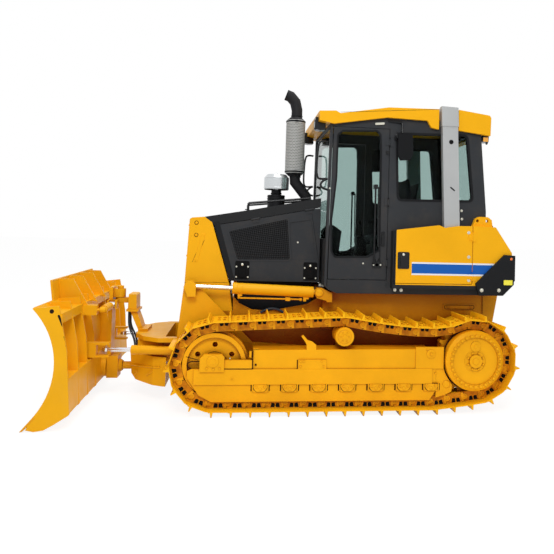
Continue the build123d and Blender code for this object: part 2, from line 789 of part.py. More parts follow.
def engine_hinges():
    """Fixed and moving halves of the two hinges along the hood's side."""
    ax, _, az = engine_door_axis
    fixed, moving = Part(), Part()
    for x in (hood_middle[0] - 60, hood_rear[0] + 120):
        z = engine_hinge_z + (x - hood_middle[0]) * az / ax
        point = (x, body_half_width + hinge_standoff, z)
        a, b = hinge(point, engine_door_axis, (az, 0, -ax))
        fixed += a
        moving += b
    return fixed, moving


def hood_top():
    """Top sheet with short sides, and a grab rail along each edge."""
    outer = [hood_front, hood_middle, hood_rear]
    lower = [(x, z - hood_side_depth) for x, z in outer]
    seam_x = seam_top[0] + (hood_front[1] - hood_side_depth - seam_top[1]) * 0.3
    outline = outer + list(reversed(lower[1:])) + [(seam_x, hood_line(seam_x) - hood_side_depth), seam_top]
    hood = side_slab(outline, -body_half_width, body_half_width)
    under = [(x, z - sheet) for x, z in outer] + [(x, z - 200) for x, z in reversed(outer)]
    hood -= side_slab(under, -body_half_width + sheet, body_half_width - sheet)
    (x0, z0), (x1, z1) = grab_rail_front, grab_rail_rear
    rail = rod_along((x0, grab_rail_y, z0), (x1, grab_rail_y, z1), grab_rail_radius)
    for x, z in (grab_rail_front, grab_rail_rear):
        rail += shaft_z(x, grab_rail_y, hood_line(x) - 10, z, grab_rail_radius)
    return hood + both_sides(rail + engine_hinges()[0])


def engine_door():
    """Left side door of the hood, hinged along its top edge, with a recessed panel."""
    gap = door_gap
    slope = (seam_top[0] - seam_bottom[0]) / (seam_top[1] - seam_bottom[1])
    low_x = seam_bottom[0] - gap
    top_x = hood_front[0] - 100
    top_z = hood_line(top_x) - hood_side_depth - gap
    high_x = low_x + slope * (top_z - door_bottom_z)
    points = [
        (low_x, door_bottom_z), (high_x, top_z),
        (hood_middle[0], hood_middle[1] - hood_side_depth - gap),
        (hood_rear[0], hood_rear[1] - hood_side_depth - gap),
        (hood_rear[0], door_bottom_z),
    ]
    door = side_slab(points, body_half_width - sheet, body_half_width)
    door -= side_slab(door_recess, body_half_width - door_recess_depth, body_half_width + 1)
    return door + engine_hinges()[1]


# ---- intake and exhaust ------------------------------------------------------------------
def below_hood():
    """Space under the hood's top face, to cut what stands on it."""
    low = [(hood_rear[0], 0), (hood_front[0], 0)]
    return side_slab([hood_front, hood_middle, hood_rear] + low, -body_half_width, body_half_width)


def exhaust():
    """Upright muffler with an elbow below and a stack that turns forward above."""
    y = exhaust_y
    body_low_z, body_high_z = muffler_bottom_z + muffler_cone, muffler_top_z - muffler_cone
    body = shaft_z(exhaust_x, y, body_low_z, body_high_z, muffler_radius)
    cone = Pos(exhaust_x, y, muffler_top_z - muffler_cone) * Cone(
        muffler_radius, stack_radius + 4, muffler_cone, align=(Align.CENTER, Align.CENTER, Align.MIN))
    body += cone + mirror(cone, about=Plane.XY.offset((muffler_bottom_z + muffler_top_z) / 2))
    result = body
    for line, radius in ((stack_line, stack_radius), (elbow_line, elbow_radius)):
        path = Polyline([(x, y, z) for x, z in line])
        start, ahead = Vector(line[0][0], y, line[0][1]), Vector(line[1][0], y, line[1][1])
        section = Plane(origin=start, z_dir=ahead - start) * Circle(radius)
        result += sweep(section, path=path, transition=Transition.RIGHT)
    return result - below_hood()


def precleaner():
    """Round intake bowl with a sloping lid on a neck and a collar."""
    x, y = precleaner_x, precleaner_y
    collar = shaft_z(x, y, hood_line(x) - 60, collar_top_z, collar_radius)
    neck = shaft_z(x, y, collar_top_z - 1, bowl_bottom_z + 1, neck_pipe_radius)
    bowl = shaft_z(x, y, bowl_bottom_z, bowl_top_z - bowl_lid, bowl_radius)
    lid = Pos(x, y, bowl_top_z - bowl_lid) * Cone(
        bowl_radius, bowl_radius - 30, bowl_lid, align=(Align.CENTER, Align.CENTER, Align.MIN))
    return collar - below_hood() + neck + bowl + lid


# ---- cab ---------------------------------------------------------------------------------
def above_cab(points):
    """Outline of (x, z) points from rows of x and the height above the cab's walls."""
    return [(x, cab_top_z + rise) for x, rise in points]


def rops_post_x(z):
    """Front of the arch's posts at this height."""
    return rops_front_top_x - rops_lean * (rops_top_z - z) / (rops_top_z - rops_foot_z)


def lean_x(low, high, z):
    """X at this height on a line between two (x, z) points."""
    return low[0] + (high[0] - low[0]) * (z - low[1]) / (high[1] - low[1])


def front_wall_x(z):
    """Outer face of the cab's front wall."""
    return lean_x((cab_front_x, floor_z), (cab_front_top_x, cab_top_z), z)


def rear_wall_x(z):
    """Outer face of the cab's rear wall, above its bend."""
    return lean_x((cab_rear_x, rear_bend_z), (cab_rear_top_x, cab_top_z), z)


cab_door_outline = [
    (front_wall_x(door_bottom) - cab_front_wall - door_front_gap, door_bottom),
    (front_wall_x(header_z - door_gap) - cab_front_wall - door_front_gap, header_z - door_gap),
    (door_rear_x, header_z - door_gap), (door_rear_x, door_bottom),
]
sill_outline = [(-445, deck_z), (-363, 1126), (-330, floor_z), (-2060, floor_z), (-2060, deck_z)]
side_window = above_cab([(-1039, -814), (-1808, -800), (-1738, -142), (-1010, -158)])
door_glass_outline = above_cab([
    (-417, -193), (-464, -156), (-805, -138), (-842, -171), (-851, -326), (-858, -1319), (-744, -1387),
    (-417, -1396), (-384, -1340), (-375, -1032), (-384, -958), (-414, -623),
])
mirror_outline = above_cab([
    (-1012, -160), (-1160, -155), (-1168, -365), (-1140, -420), (-1040, -425), (-1015, -375),
])
roof_outline = above_cab([
    (-225, -66), (-222, 28), (-386, 37), (-430, 14), (-915, 98), (-1425, 108), (-1638, 113),
    (-1962, 72), (-1978, 48), (-1974, -135), (-1649, -99), (-1430, -97), (-1351, -82),
    (-1310, -14), (-904, -4), (-370, -92),
])
# under the visors, their upper corners on the visors' lower edges
front_lamp_outline = above_cab([
    (-241, -149), (-200, -142), (-194, -33), (-197, -19), (-223.5, -19), (-225, -66),
    (-297.5, -79), (-297.5, -145),
])
rear_lamp_outline = above_cab([(-1909, -127.8), (-1974, -135), (-1972, -193), (-1909, -190)])


def cab_floor():
    """Sill and floor plate on the main frame, with a step under each door."""
    front, rear = front_wall_x(floor_z) - cab_front_wall - door_gap, door_rear_x - door_gap
    plate = side_slab(sill_outline, -cab_half_width, cab_half_width)
    step = block(
        front, rear, cab_half_width - cab_wall, cab_half_width, floor_z - 1, door_bottom - door_gap)
    return plate + both_sides(step)


def cab_front():
    """Front wall with the windscreen's opening and both front pillars."""
    top = cab_front_top_x
    points = [
        (cab_front_x, floor_z), (top, cab_top_z), (top - cab_front_wall, cab_top_z),
        (cab_front_x - cab_front_wall, floor_z),
    ]
    wall = side_slab(points, -cab_half_width, cab_half_width)
    half = cab_half_width - front_pillar
    opening = plan_slab([(-600, -half), (0, -half), (0, half), (-600, half)], windscreen_low_z, header_z)
    return wall - opening




def upright_hinges(x, y, heights):
    """Fixed and moving halves of a door's hinges on an upright line."""
    fixed, moving = Part(), Part()
    for z in heights:
        a, b = hinge((x, y + hinge_standoff, z), (0, 0, 1), (1, 0, 0))
        fixed += a
        moving += b
    return fixed, moving


def cab_door_hinges():
    return upright_hinges(door_rear_x - door_gap / 2, cab_half_width, (1400, 2000, 2600))


def rear_door_hinges():
    return upright_hinges(rear_door_rear_x - 1.5, rear_body_y, (1290, 1680))


def cab_sides():
    """Side walls behind the doors with their windows, rails over the doors, and the mirrors."""
    front = door_rear_x - door_gap
    points = [
        (front, floor_z), (front, header_z), (front_wall_x(header_z) - cab_front_wall, header_z),
        (cab_front_top_x - cab_front_wall, cab_top_z), (cab_rear_top_x, cab_top_z),
        (cab_rear_x, rear_bend_z), (cab_rear_x, tank_top_z + 5), (rear_door_rear_x - 3, tank_top_z + 5),
        (rear_door_rear_x - 3, floor_z),
    ]
    wall = side_slab(points, cab_half_width - cab_wall, cab_half_width)
    wall -= side_slab(side_window, 0, 1000, window_corner)
    mirror_body = side_slab(mirror_outline, cab_half_width + 18, cab_half_width + 48, 12)
    arm_z = mirror_outline[0][1] - 40
    mirror_body += block(-1050, -985, cab_half_width - 1, cab_half_width + 20, arm_z - 20, arm_z + 20)
    return both_sides(wall + mirror_body + cab_door_hinges()[0])


def cab_rear():
    """Rear wall with its window."""
    low_z = tank_top_z + 5
    points = [
        (cab_rear_x, low_z), (cab_rear_x, rear_bend_z), (cab_rear_top_x, cab_top_z),
        (cab_rear_top_x + cab_wall, cab_top_z), (cab_rear_x + cab_wall, rear_bend_z),
        (cab_rear_x + cab_wall, low_z),
    ]
    inner = cab_half_width - cab_wall
    wall = side_slab(points, -inner, inner)
    side = inner - rear_pillar
    return wall - block(-2200, -1600, -side, side, rear_window_low_z, header_z)


def cab_roof():
    """Roof with side skirts and a visor at each end, with a channel for the protective arch."""
    roof = side_slab(roof_outline, -roof_half_width, roof_half_width)
    inner = cab_half_width + roof_skirt_gap
    over_walls = side_slab(
        [
            (front_wall_x(2000) + roof_skirt_gap, 2000), (cab_front_top_x + roof_skirt_gap, cab_top_z),
            (cab_rear_top_x - roof_skirt_gap, cab_top_z), (rear_wall_x(2000) - roof_skirt_gap, 2000),
        ],
        -inner, inner,
    )
    channel_front = rops_front_top_x + rops_gap
    channel_rear = rops_front_top_x - rops_width - rops_gap
    channel = block(
        channel_front, channel_rear, -roof_half_width - 1, roof_half_width + 1,
        cab_top_z + 10, cab_top_z + 300,
    )
    slot = block(channel_front, channel_rear, rops_y - 6, roof_half_width + 1, 2000, cab_top_z + 300)
    return roof - over_walls - channel - both_sides(slot)


def rops_arch():
    """Protective arch: two leaning posts with sleeves and a beam over the roof."""
    post_x = rops_post_x
    post = side_slab(
        [
            (post_x(rops_bottom_z), rops_bottom_z), (post_x(rops_top_z), rops_top_z),
            (post_x(rops_top_z) - rops_width, rops_top_z),
            (post_x(rops_bottom_z) - rops_width, rops_bottom_z),
        ],
        rops_y, rops_y + rops_depth,
    )
    low, high, more = rops_sleeve_z, rops_top_z + rops_sleeve, rops_sleeve
    sleeve = side_slab(
        [
            (post_x(low) + more, low), (post_x(high) + more, high),
            (post_x(high) - rops_width - more, high - more), (post_x(low) - rops_width - more, low),
        ],
        rops_y, rops_y + rops_depth + rops_sleeve,
    )
    beam = block(
        rops_front_top_x - rops_width, rops_front_top_x - 5, -rops_y - 1, rops_y + 1,
        rops_top_z - rops_beam_height, rops_top_z,
    )
    return both_sides(post + sleeve) + beam


def cab_glass():
    """Windscreen, side windows and rear window."""
    inset = cab_front_wall / 2
    glass = cab_glass_thickness
    z0, z1 = windscreen_low_z, header_z
    x0, x1 = front_wall_x(z0) - inset, front_wall_x(z1) - inset
    half = cab_half_width - front_pillar
    screen = side_slab([(x0, z0), (x1, z1), (x1 - glass, z1), (x0 - glass, z0)], -half, half)
    pane_y = cab_half_width - cab_wall / 2
    pane = side_slab(side_window, pane_y, pane_y + glass, window_corner)
    half = cab_half_width - cab_wall - rear_pillar
    z0 = rear_window_low_z
    x0, x1 = rear_wall_x(z0) + cab_wall / 2, rear_wall_x(z1) + cab_wall / 2
    rear = side_slab([(x0, z0), (x1, z1), (x1 + glass, z1), (x0 + glass, z0)], -half, half)
    return screen + both_sides(pane) + rear


def cab_door():
    """Left cab door: a frame round its window."""
    frame = side_slab(cab_door_outline, cab_half_width - cab_wall + 10, cab_half_width)
    return frame - side_slab(door_glass_outline, 0, 1000) + cab_door_hinges()[1]


def door_glass():
    y = cab_half_width - cab_wall / 2
    return side_slab(door_glass_outline, y, y + cab_glass_thickness)


def seat():
    """Operator's seat with a cushion, back and armrests on a pedestal."""
    cushion = block(-1330, -870, -seat_half_width, seat_half_width, *cushion_z)
    back = side_slab(seat_back_outline, -seat_half_width + 10, seat_half_width - 10)
    pedestal = block(-1280, -930, -180, 180, floor_z, cushion_z[0])
    inner, outer = seat_half_width + 20, seat_half_width + 80
    arm = block(-1270, -930, inner, outer, armrest_z - 50, armrest_z)
    arm += block(-1290, -1230, seat_half_width - 10, outer - 30, armrest_z - 90, armrest_z)
    return cushion + back + pedestal + both_sides(arm)


def console():
    """Dashboard in front of the operator and a lever on each side."""
    dash = side_slab([(-390, floor_z), *dash_top, (-480, floor_z)], -260, 260)
    side = block(-1150, -820, 380, 520, floor_z, side_console_z)
    lever = rod_along((-900, 450, side_console_z - 10), (-870, 450, side_console_z + 190), 12)
    return dash + both_sides(side + lever)


def lamps():
    """Two work lamps under the front of the roof and two at the rear."""
    front = side_slab(front_lamp_outline, *front_lamp_y)
    rear = side_slab(rear_lamp_outline, *rear_lamp_y)
    return both_sides(front + rear)


# ---- rear body ---------------------------------------------------------------------------
def rear_body():
    """Fuel tank across the rear and the frames of the side compartments."""
    seam_x = rear_door_rear_x - 3
    tank = side_slab(
        [
            (seam_x, floor_z), (seam_x, tank_top_z), (tank_shoulder_x, tank_top_z - 6),
            (tank_rear_x, tank_slope_z), (tank_rear_x, floor_z + 90), (tank_rear_x + 79, floor_z),
        ],
        -rear_body_y, rear_body_y,
    )
    y0, y1 = cab_half_width, rear_body_y
    sill = block(seam_x, rear_door_front_x + 12, y0, y1, floor_z, rear_door_bottom_z - door_gap)
    jamb = block(
        rear_door_front_x + door_gap, rear_door_front_x + 16, y0, y1 - 2,
        floor_z, rear_door_top[0][1] - 10,
    )
    lug = side_slab(lug_outline, cab_half_width + 4, cab_half_width + 50)
    for x in lug_holes_x:
        lug -= shaft_y(x, lug_holes_z, 0, 900, lug_hole_radius)
    return tank + both_sides(sill + jamb + lug + rear_door_hinges()[0])


def rear_door():
    """Left side door of the rear body, hinged at its rear edge, with a notch for the arch's post."""
    lower_edge = [(rear_door_rear_x, rear_door_bottom_z), (rear_door_front_x, rear_door_bottom_z)]
    points = lower_edge + rear_door_top
    return side_slab(points, rear_body_y - rear_door_thickness, rear_body_y) + rear_door_hinges()[1]


def corner_guards():
    """Black guards bolted to the rear lower corners."""
    guard = side_slab(guard_outline, rear_body_y, rear_body_y + guard_thickness)
    wrap = block(overall_rear_x, tank_rear_x, 500, rear_body_y + guard_thickness, 1250, 1505)
    return both_sides(guard + wrap)


# ---- blade lift frame --------------------------------------------------------------------
def c_frame():
    """C-shaped push frame: two arms, a front casting with the ball, a tower and two uprights."""
    px, pz = lift_pivot
    y_in, y_out = arm_inner_y, arm_outer_y
    arm = side_slab(
        [
            (px - 60, pz - 60), (600, 385), (1200, 400), (1200, shelf_top_z), (1111, shelf_top_z),
            (600, 600), (px - 20, pz + 82), (px - 60, pz + 60),
        ],
        y_in, y_out,
    )
    arm += shaft_y(px, pz, y_in, y_out, 88)
    # outside the web the front of the arm is open for the angle cylinder
    arm -= block(885, 1300, y_in + angle_web, y_out + 1, 300, shelf_bottom_z)
    arm -= shaft_y(px, pz, y_in - 1, y_out + 1, trunnion_radius + pin_fit)
    shelf_plan = [
        (1190, y_in - 1), (1190, shelf_half_width), (1250, shelf_half_width), (1400, y_in - 17),
        (1497, 250),
    ]
    shelf = plan_slab(symmetric_plan(shelf_plan), shelf_bottom_z, shelf_top_z)
    side_plan = [(880, y_in + 1), (880, shelf_half_width), (1192, shelf_half_width), (1192, y_in + 1)]
    shelf_side = plan_slab(side_plan, shelf_bottom_z, shelf_top_z)
    web_plan = [(1190, y_in - 1), (1260, y_in - 22), (1470, 300)]
    web = plan_slab(symmetric_plan(web_plan), casting_top_z - 1, shelf_bottom_z + 1)
    casting_plan = [(1171, y_out - 7), (1300, y_in + 3), (1450, 300), (1600, 120)]
    casting = plan_slab(symmetric_plan(casting_plan), casting_low_z, casting_top_z)
    casting &= side_slab(casting_side, -y_out, y_out)
    neck = shaft_x(0, ball_z, 1500, ball_x, neck_radius)
    ball = Pos(ball_x, 0, ball_z) * Sphere(ball_radius)
    column = side_slab(tower_column, -100, 100)
    flange = block(*tower_flange_x, -132, 132, tower_head_z - 10, tower_head_z + 12)
    head = side_slab(tower_head, -120, 120)
    pad = block(*tower_pad_x, -150, 150, shelf_top_z - 1, shelf_top_z + 26)
    reach = block(1600, ball_x, -50, 50, *tower_arm_z) + shaft_z(ball_x, 0, *tower_arm_z, 50)
    pin = shaft_z(ball_x, 0, tower_arm_z[1] - 1, tower_pin_top_z, tower_pin_radius)
    ex, ez = lift_eye
    upright = side_slab(upright_outline, y_out - 1, y_out + ear_plate)
    ear_y = lift_cylinder_y + eye_half_width + eye_side_gap
    outer = side_slab(
        [
            (ex - 55, ez - 98), (ex - 55, ez + 20), (ex - 20, ez + 52), (ex + 30, ez + 52), (ex + 60, ez),
            (ex + 22, ez - 98),
        ],
        ear_y, ear_y + ear_plate,
    )
    bridge = block(ex - 50, ex + 20, y_out, ear_y + 1, ez - 98, ez - 82)
    angle_x, angle_y = angle_rear_pin
    lug = shaft_y(angle_x, angle_z, y_in + 1, angle_y + 18, small_pin_radius)
    lug += shaft_y(angle_x, angle_z, angle_y + 16, angle_y + 24, small_pin_radius + 8)
    lug += shaft_y(angle_x, angle_z, y_in + 1, angle_y - 17, small_pin_radius + 12)
    side = arm + shelf_side + upright + outer + bridge + lug
    return both_sides(side) + shelf + web + casting + neck + ball + column + flange + head + pad + reach + pin


def blade_yoke():
    """Turns on the ball and the tower's pin, and carries the blade on its tilt pin."""
    half, low, high = yoke_half_width, ball_z - yoke_half_height, ball_z + yoke_half_height
    housing = block(ball_x - 14, yoke_back_x + 5, -half, half, low, high)
    mast = block(yoke_back_x, yoke_front_x, -half, half, low, yoke_top_z)
    eye_z0, eye_z1 = tower_arm_z[1] + tilt_gap, tower_arm_z[1] + tilt_gap + yoke_eye_height
    ring = shaft_z(ball_x, 0, eye_z0, eye_z1, 52) + block(ball_x, yoke_back_x + 1, -52, 52, eye_z0, eye_z1)
    ring -= shaft_z(ball_x, 0, 900, 1100, tower_pin_radius + pin_fit)
    tilt_pin = shaft_x(0, ball_z, yoke_front_x - 1, yoke_front_x + 75, tilt_pin_radius)
    # fork for the tilt rod's eye
    ear = block(tilt_x - 48, yoke_front_x, half - 1, tilt_eye_y + 32, tilt_z - 42, tilt_z + 42)
    ear -= block(tilt_x - 31, tilt_x + 31, half + 16, tilt_eye_y + 40, tilt_z - 60, tilt_z + 60)
    socket = Pos(ball_x, 0, ball_z) * Sphere(ball_radius + pin_fit)
    return housing + mast + ring + tilt_pin + ear - socket


def blade_arc(offset):
    """Circle through the moldboard's face: centre, radius and end angles, moved back by offset."""
    (ax, az), (bx, bz), (cx, cz) = blade_top, blade_middle, blade_low
    d = 2 * (ax * (bz - cz) + bx * (cz - az) + cx * (az - bz))
    ux = ((ax**2 + az**2) * (bz - cz) + (bx**2 + bz**2) * (cz - az) + (cx**2 + cz**2) * (az - bz)) / d
    uz = ((ax**2 + az**2) * (cx - bx) + (bx**2 + bz**2) * (ax - cx) + (cx**2 + cz**2) * (bx - ax)) / d
    radius = math.hypot(ax - ux, az - uz)
    start = math.degrees(math.atan2(az - uz, ax - ux))
    end = math.degrees(math.atan2(cz - uz, cx - ux)) % 360
    return arc_points((ux, uz), radius + offset, start, end, 16)


def moldboard_side(front_offset):
    """Side outline of the blade's end plates and ribs, with its front on the moldboard."""
    return blade_arc(front_offset) + blade_back


def blade():
    """Curved moldboard with a raised middle, end plates, ribs and two box beams."""
    w = blade_half_width
    board = side_slab(blade_arc(0) + list(reversed(blade_arc(blade_plate))), -w, w)
    (bx, bz), (rx, rz) = blade_top, raise_top
    upper_points = [(bx - 2, bz - 6), raise_top, (rx - 18, rz), (bx - 22, bz - 6)]
    upper = side_slab(upper_points, -raise_half_width, raise_half_width)
    end = side_slab(moldboard_side(1), w - end_plate, w)
    rib_profile = moldboard_side(blade_plate - 1)
    ribs = Part()
    for y in rib_y:
        ribs += side_slab(rib_profile, y, y + rib_plate)
    gusset_points = [(bx - 20, 960), (rx - 17, rz - 3), (2033, rz - 3), (1890, 935)]
    gusset = Part()
    for y in gusset_y:
        gusset += side_slab(gusset_points, y, y + rib_plate)
    in_front = [(blade_clear_x, 50), (blade_clear_x, blade_top[1] + 99)]
    cut = side_slab(blade_arc(2) + in_front, -w - 1, w + 1)
    inner = w - end_plate
    low_box = side_slab(low_box_outline, -inner, inner) - cut
    high_box = block(*high_box_x, -inner, inner, *high_box_z) - cut
    boss = shaft_x(0, ball_z, yoke_front_x + tilt_gap, 1880, yoke_half_height)
    bore = shaft_x(0, ball_z, yoke_front_x, yoke_front_x + 85, tilt_pin_radius + pin_fit)
    web_x, y, gap = angle_eye_x + 78, angle_eye_y, 50
    fork = block(web_x, 1975, y - 45, y + 45, angle_z - gap - 18, angle_z + gap + 18)
    for z in (angle_z + gap, angle_z - gap - 18):
        fork += block(angle_eye_x - 38, web_x + 1, y - 38, y + 38, z, z + 18)
    fork -= cut
    tilt_ear = block(tilt_x + 50, 1960, tilt_rear_y - 36, tilt_rear_y + 36, tilt_z - 46, tilt_z + 46)
    tilt_ear += shaft_x(tilt_rear_y, tilt_z, tilt_x - 29, tilt_x + 51, small_pin_radius)
    tilt_ear += shaft_x(tilt_rear_y, tilt_z, tilt_x - 36, tilt_x - 27, small_pin_radius + 10)
    side = end + ribs + gusset + fork
    whole = board + upper + both_sides(side) + low_box + high_box + boss + (tilt_ear - cut)
    return whole - bore - cutting_edge()


def cutting_edge():
    """Straight edge and end bits bolted under the moldboard."""
    (lx, lz), (tx, tz) = blade_low, blade_tip
    along = (tx - lx, tz - lz)
    backward = (tz - lz, lx - tx)
    top = moved(blade_low, along, -10)
    points = [
        top, blade_tip, moved(blade_tip, (-1, 0.15), edge_thickness * 1.2),
        moved(top, backward, edge_thickness),
    ]
    return side_slab(points, -blade_half_width, blade_half_width)


# ---- cylinders ---------------------------------------------------------------------------
def cylinder(
    rear, eye, barrel_length, barrel_radius, rod_radius, eye_radius, half_width, across, rear_pin, retract,
):
    """Barrel from its rear eye, and rod up to its own eye, both along one line.

    across holds the directions of the rear pin and of the rod's pin, and retract is how far
    the rod goes in from here.
    """
    start, end = Vector(*rear), Vector(*eye)
    along = (end - start).normalized()
    rear_wide, wide = Vector(*across[0]), Vector(*across[1])
    barrel_end = start + along * barrel_length
    barrel = rod_along((start + along * (eye_radius + 12)), tuple(barrel_end), barrel_radius)
    barrel += rod_along((start), (start + along * (eye_radius + 13)), half_width - 1)
    rear_eye = rod_along((start - rear_wide * half_width), (start + rear_wide * half_width), eye_radius)
    hole = rod_along((start - rear_wide * 100), (start + rear_wide * 100), rear_pin + pin_fit)
    bore_start = eye_radius + cylinder_base
    rod_start = bore_start + retract + cylinder_base_gap
    bore = rod_along((start + along * bore_start), tuple(barrel_end + along), rod_radius + pin_fit)
    rod = rod_along((start + along * rod_start), tuple(end), rod_radius)
    rod_eye = rod_along(tuple(end - wide * half_width), tuple(end + wide * half_width), eye_radius)
    return barrel + rear_eye - bore - hole, rod + rod_eye


def lift_cylinder():
    rear = (lift_rear_pin[0], lift_cylinder_y, lift_rear_pin[1])
    eye = (lift_eye[0], lift_cylinder_y, lift_eye[1])
    return cylinder(
        rear, eye, lift_barrel_end, lift_barrel_radius, lift_rod_radius, 42, eye_half_width,
        ((0, 1, 0), (0, 1, 0)), lift_rear_pin_radius, lift_retract)


def angle_cylinder():
    rear = (*angle_rear_pin, angle_z)
    eye = (angle_eye_x, angle_eye_y - angle_eye_drift, angle_z)
    return cylinder(
        rear, eye, angle_barrel_end - rear[0], angle_barrel_radius, angle_rod_radius, 34, 15,
        ((0, 1, 0), (0, 0, 1)), small_pin_radius, angle_retract)


def tilt_cylinder():
    rear = (tilt_x, tilt_rear_y, tilt_z)
    eye = (tilt_x, tilt_eye_y, tilt_z)
    return cylinder(
        rear, eye, tilt_barrel_end, tilt_barrel_radius, tilt_rod_radius, 28, 25,
        ((1, 0, 0), (1, 0, 0)), small_pin_radius, tilt_retract)


# ---- hoses -------------------------------------------------------------------------------
def hose(name, route):
    """Tube along straight runs joined by arcs as large as the runs allow."""
    points = [Vector(*point) for point in route]
    runs = [b - a for a, b in zip(points, points[1:])]
    radii = []
    for before, after in zip(runs, runs[1:]):
        half_turn = math.radians(before.get_angle(after)) / 2
        radii.append(0.45 * min(before.length, after.length) / math.tan(half_turn))
    print(name, "radii", [round(radius) for radius in radii])
    path = FilletPolyline(*points, radius=radii)
    section = Plane(origin=points[0], z_dir=runs[0]) * Circle(hose_radius)
    tube = sweep(section, path=path)
    print(name, "length", round(path.length), "volume over section", round(tube.volume / section.area))
    return tube


def frame_hose():
    return hose("frame hose", [(x, frame_hose_y, z) for x, z in frame_hose_line])


def tower_hose():
    return hose("tower hose", tower_hose_route)


# ---- write every sub-part ----------------------------------------------------------------
os.makedirs("parts", exist_ok=True)

single_parts = {
    "track_frames": track_frames, "idlers": idlers, "rollers": rollers, "sprockets": sprockets,
    "main_frame": main_frame, "engine": engine, "radiator_guard": radiator_guard,
    "radiator_grille": radiator_grille, "hood_top": hood_top, "exhaust": exhaust,
    "precleaner": precleaner, "cab_floor": cab_floor, "cab_front": cab_front, "cab_sides": cab_sides,
    "cab_rear": cab_rear, "cab_roof": cab_roof, "rops_arch": rops_arch, "cab_glass": cab_glass,
    "seat": seat, "console": console, "lamps": lamps, "rear_body": rear_body,
    "corner_guards": corner_guards, "c_frame": c_frame, "blade_yoke": blade_yoke, "blade": blade,
    "cutting_edge": cutting_edge,
}
for name, make in single_parts.items():
    save(name, make())

paired_parts = {
    "track": track, "engine_door": engine_door, "cab_door": cab_door, "door_glass": door_glass,
    "rear_door": rear_door, "frame_hose": frame_hose, "tower_hose": tower_hose,
}
for name, make in paired_parts.items():
    save_pair(name, make())

for name, make in {"lift": lift_cylinder, "angle": angle_cylinder}.items():
    barrel, rod = make()
    save_pair(name + "_barrel", barrel)
    save_pair(name + "_rod", rod)

barrel, rod = tilt_cylinder()
save("tilt_barrel", barrel)
save("tilt_rod", rod)

print("track pitch", round(track_pitch, 2), "idler tread radius", round(idler_tread_radius, 1))
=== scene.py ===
"""Looks of a crawler dozer: materials, sheet metal details, hoses and studio, in metres.

Frame: +X forward, +Y to the left, +Z up, as the CAD model. The camera looks at the left side.
"""
import bmesh
import bpy
import math
from mathutils import Matrix, Vector


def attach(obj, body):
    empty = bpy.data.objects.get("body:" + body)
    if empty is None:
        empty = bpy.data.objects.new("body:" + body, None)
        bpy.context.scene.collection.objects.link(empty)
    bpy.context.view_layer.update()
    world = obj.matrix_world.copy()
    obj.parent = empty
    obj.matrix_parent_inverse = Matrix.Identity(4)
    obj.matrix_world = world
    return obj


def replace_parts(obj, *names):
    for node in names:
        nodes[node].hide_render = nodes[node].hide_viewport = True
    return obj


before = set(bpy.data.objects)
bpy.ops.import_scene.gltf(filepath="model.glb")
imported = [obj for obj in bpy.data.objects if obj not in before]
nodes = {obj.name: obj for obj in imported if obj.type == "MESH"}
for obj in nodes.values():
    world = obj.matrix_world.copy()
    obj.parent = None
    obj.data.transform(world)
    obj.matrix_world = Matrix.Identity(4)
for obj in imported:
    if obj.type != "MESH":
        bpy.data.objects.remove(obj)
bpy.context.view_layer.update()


# ---- camera, lights and floor ----
camera_place = (0.492, 6.786, 1.726)
camera_yaw, camera_pitch, camera_roll = 8.11, 1.85, 1.66     # degrees
camera_lens = 41.09          # on a sensor 36 mm wide
camera_shift = (-0.1004, -0.1245)


def add_camera():
    yaw, pitch, roll = (math.radians(a) for a in (camera_yaw, camera_pitch, camera_roll))
    forward = Vector((-math.sin(yaw) * math.cos(pitch), -math.cos(yaw) * math.cos(pitch), math.sin(pitch)))
    level = Vector((-math.cos(yaw), math.sin(yaw), 0))
    upright = level.cross(forward)
    right = level * math.cos(roll) + upright * math.sin(roll)
    up = upright * math.cos(roll) - level * math.sin(roll)
    data = bpy.data.cameras.new("camera")
    data.lens, data.sensor_width = camera_lens, 36
    data.shift_x, data.shift_y = camera_shift
    camera = bpy.data.objects.new("camera", data)
    turn = Matrix((right, up, -forward)).transposed().to_4x4()
    camera.matrix_world = Matrix.Translation(camera_place) @ turn
    bpy.context.scene.collection.objects.link(camera)
    bpy.context.scene.camera = camera


def add_lamp(name, place, target, size, power):
    data = bpy.data.lights.new(name, "AREA")
    data.shape, data.size, data.energy = "DISK", size, power
    lamp = bpy.data.objects.new(name, data)
    aim = (Vector(target) - Vector(place)).to_track_quat("-Z", "Y")
    lamp.matrix_world = Matrix.Translation(place) @ aim.to_matrix().to_4x4()
    bpy.context.scene.collection.objects.link(lamp)


def new_node(tree, kind, values=None):
    """Shader node of a kind, with some of its inputs set."""
    node = tree.nodes.new("ShaderNode" + kind)
    for name, value in (values or {}).items():
        node.inputs[name].default_value = value
    return node


def seen_directly(tree):
    """1 for camera, mirror and glass rays, 0 for the light that falls on things."""
    path = new_node(tree, "LightPath")
    straight = maths(tree, "MAXIMUM", path.outputs["Is Camera Ray"], path.outputs["Is Glossy Ray"])
    return maths(tree, "MAXIMUM", straight, path.outputs["Is Transmission Ray"])


def show_mixed(tree, share, first, second, output):
    """Joins two shaders by a share and sends them to the output."""
    mix = new_node(tree, "MixShader")
    for socket, value in zip(mix.inputs, (share, first.outputs[0], second.outputs[0])):
        tree.links.new(value, socket)
    tree.links.new(mix.outputs[0], output.inputs[0])


def add_world(light_strength, shown_strength=1):
    """White room: one strength lights the object, the other is what the camera sees."""
    world = bpy.data.worlds.new("studio")
    bpy.context.scene.world = world
    world.use_nodes = True
    tree = world.node_tree
    tree.nodes.clear()
    rooms = [new_node(tree, "Background", {"Color": grey(1), "Strength": strength})
             for strength in (light_strength, shown_strength)]
    show_mixed(tree, seen_directly(tree), *rooms, new_node(tree, "OutputWorld"))


floor_half = 60
floor_grey, floor_glow, floor_glow_share = 0.9, 1.14, 0.78


